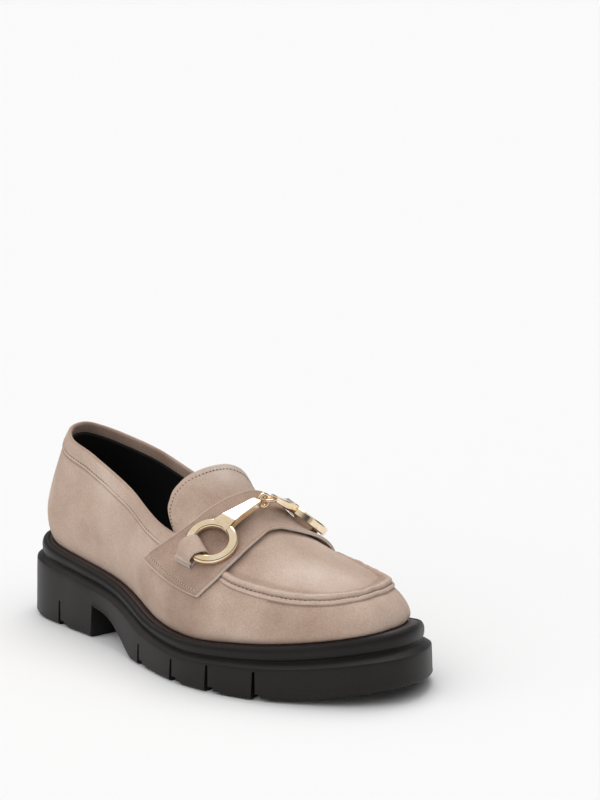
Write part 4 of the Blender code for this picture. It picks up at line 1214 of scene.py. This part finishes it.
def make_seams():
    """Sewing on the upper: round the collar band and along the apron's flange."""
    shape = bmesh.new()
    for side in (-1, 1):
        end = 0.478 if side < 0 else 0.46
        collar = (0.0, end, COLLAR_SEAM_SHARE, BAND)
        apron = (turn_at(APRON_SEAM_X), 1.0, APRON_SEAM_SHARE, RIDGE)
        for from_turn, to_turn, share_of_band, table in (collar, apron):
            turns = np.linspace(from_turn, to_turn, 160)
            girths, lift = wall_share(turns, side, share_of_band, table)
            points = last_point(turns, side, girths, lift)
            thread_along(shape, points, last_normal(turns, side, girths))
    return set_down(shape, "upper_seams", "upper", [THREAD_SKIN, HOLE_SHADE])


def make_strap_seams():
    shape = bmesh.new()
    for side in (-1, 1):
        along = np.linspace(0.05, 0.95, 60)
        around = side * STRAP_SEAM + 0 * along
        turn, girth = strap_grid(around, along)
        points, normals = on_last(turn, around, girth, FOLD_GAP + STRAP_THICK - 0.12 + 0 * along)
        thread_along(shape, points, normals, 2.0, 1.3, 0.3)
    return set_down(shape, "strap_seams", "saddle_strap", [PALE_THREAD, HOLE_SHADE])


def make_tongue_seam():
    around = np.linspace(-0.95, 0.8, 160)
    free = curve(TONGUE["round"], TONGUE["rear"], around)
    along = 2.6 / (SOLE_LENGTH * (TONGUE_FRONT - free))
    points, normals = tongue_surface(around, along, 0.02)
    shape = bmesh.new()
    thread_along(shape, points, normals, 2.0, 0.9, 0.22, 1.7)
    return set_down(shape, "tongue_seam", "tongue", [THREAD_SKIN, HOLE_SHADE])


def main():
    make_sole()
    make_welt()
    make_sock()
    make_upper()
    make_lining()
    make_strap()
    make_tongue()
    make_bit_half("bit_outer_gold", "bit_half_outer", -1)
    make_bit_half("bit_inner_gold", "bit_half_inner", 1)
    make_loop("loop_outer_suede", "bit_loop_outer", -1)
    make_loop("loop_inner_suede", "bit_loop_inner", 1)
    make_tack("tack_outer", "bit_loop_outer", -1)
    make_tack("tack_inner", "bit_loop_inner", 1)
    make_seams()
    make_strap_seams()
    make_tongue_seam()


def add_light(name, towards, spread, power):
    """A wide soft light far away, so that the floor is lit evenly as far as the picture reaches."""
    lamp = bpy.data.lights.new(name, "SUN")
    lamp.angle = math.radians(spread)
    lamp.energy = power
    holder = bpy.data.objects.new(name, lamp)
    holder.rotation_euler = (-Vector(towards)).to_track_quat("-Z", "Y").to_euler()
    bpy.context.scene.collection.objects.link(holder)
    return holder


def studio():
    """A pale paper floor, a soft light from above and behind, a wide fill from the outer side, and the room
    around."""
    shape = bmesh.new()
    bmesh.ops.create_grid(shape, x_segments=1, y_segments=1, size=200.0)
    floor_mesh = bpy.data.meshes.new("floor")
    shape.to_mesh(floor_mesh)
    shape.free()
    floor = bpy.data.objects.new("floor", floor_mesh)
    floor.location.z = -0.0002
    bpy.context.scene.collection.objects.link(floor)
    paper, _, shader = surface("studio_paper", Roughness=1.0)
    shader.inputs["Base Color"].default_value = linear("ebebeb")
    shader.inputs["Specular IOR Level"].default_value = 0.0
    floor_mesh.materials.append(paper)
    world = bpy.data.worlds.new("studio")
    world.use_nodes = True
    # Bright above, a dark band of the room lower down for the metal to mirror, and pale at the horizon. Below
    # it, where the floor ends far away, the world is as pale as the floor.
    tree = world.node_tree
    direction = node(tree, "ShaderNodeTexCoord").outputs["Generated"]
    height = node(tree, "ShaderNodeSeparateXYZ", {"Vector": direction}).outputs["Z"]
    stops = ((0.0, "ffffff"), (0.002, "c8c8c8"), (0.14, "b0b0b0"))
    stops += ((0.24, "3c3c3c"), (0.45, "707070"), (0.6, "e8e8e8"))
    back = tree.nodes["Background"]
    tree.links.new(ramp(tree, height, stops), back.inputs["Color"])
    back.inputs["Strength"].default_value = 0.95
    bpy.context.scene.world = world
    add_light("key", (-0.45, 0.55, 1.5), 38, 1.15)
    fill = add_light("fill", (0.0, -1.3, 0.9), 80, 1.25)
    fill.visible_glossy = False
    bpy.context.scene.view_settings.view_transform = "Standard"
    bpy.context.scene.view_settings.look = "None"


def camera():
    """The photograph's view: azimuth and elevation of the camera from the shoe, its distance, and how far it
    is moved aside and up so that the shoe falls in the same part of the picture."""
    azimuth, elevation = math.radians(47.316), math.radians(9.835)
    distance, aside, above = 1200.0, 43.219, 79.724
    focal_pixels, picture_height = 2304.63, 800.0
    level = math.cos(elevation)
    back = Vector((math.sin(azimuth) * level, -math.cos(azimuth) * level, math.sin(elevation)))
    right = Vector((math.cos(azimuth), math.sin(azimuth), 0))
    up = back.cross(right)
    eye = Vector((136.0, 0.0, 50.0)) + back * distance + right * aside + up * above
    lens = bpy.data.cameras.new("camera")
    lens.sensor_width = 36.0
    lens.lens = lens.sensor_width * focal_pixels / picture_height
    lens.clip_start, lens.clip_end = 0.05, 500.0
    holder = bpy.data.objects.new("camera", lens)
    turned = Matrix((right, up, back)).transposed().to_4x4()
    holder.matrix_world = Matrix.Translation((eye - MIDDLE) * 0.001) @ turned
    bpy.context.scene.collection.objects.link(holder)
    bpy.context.scene.camera = holder


main()
studio()
camera()
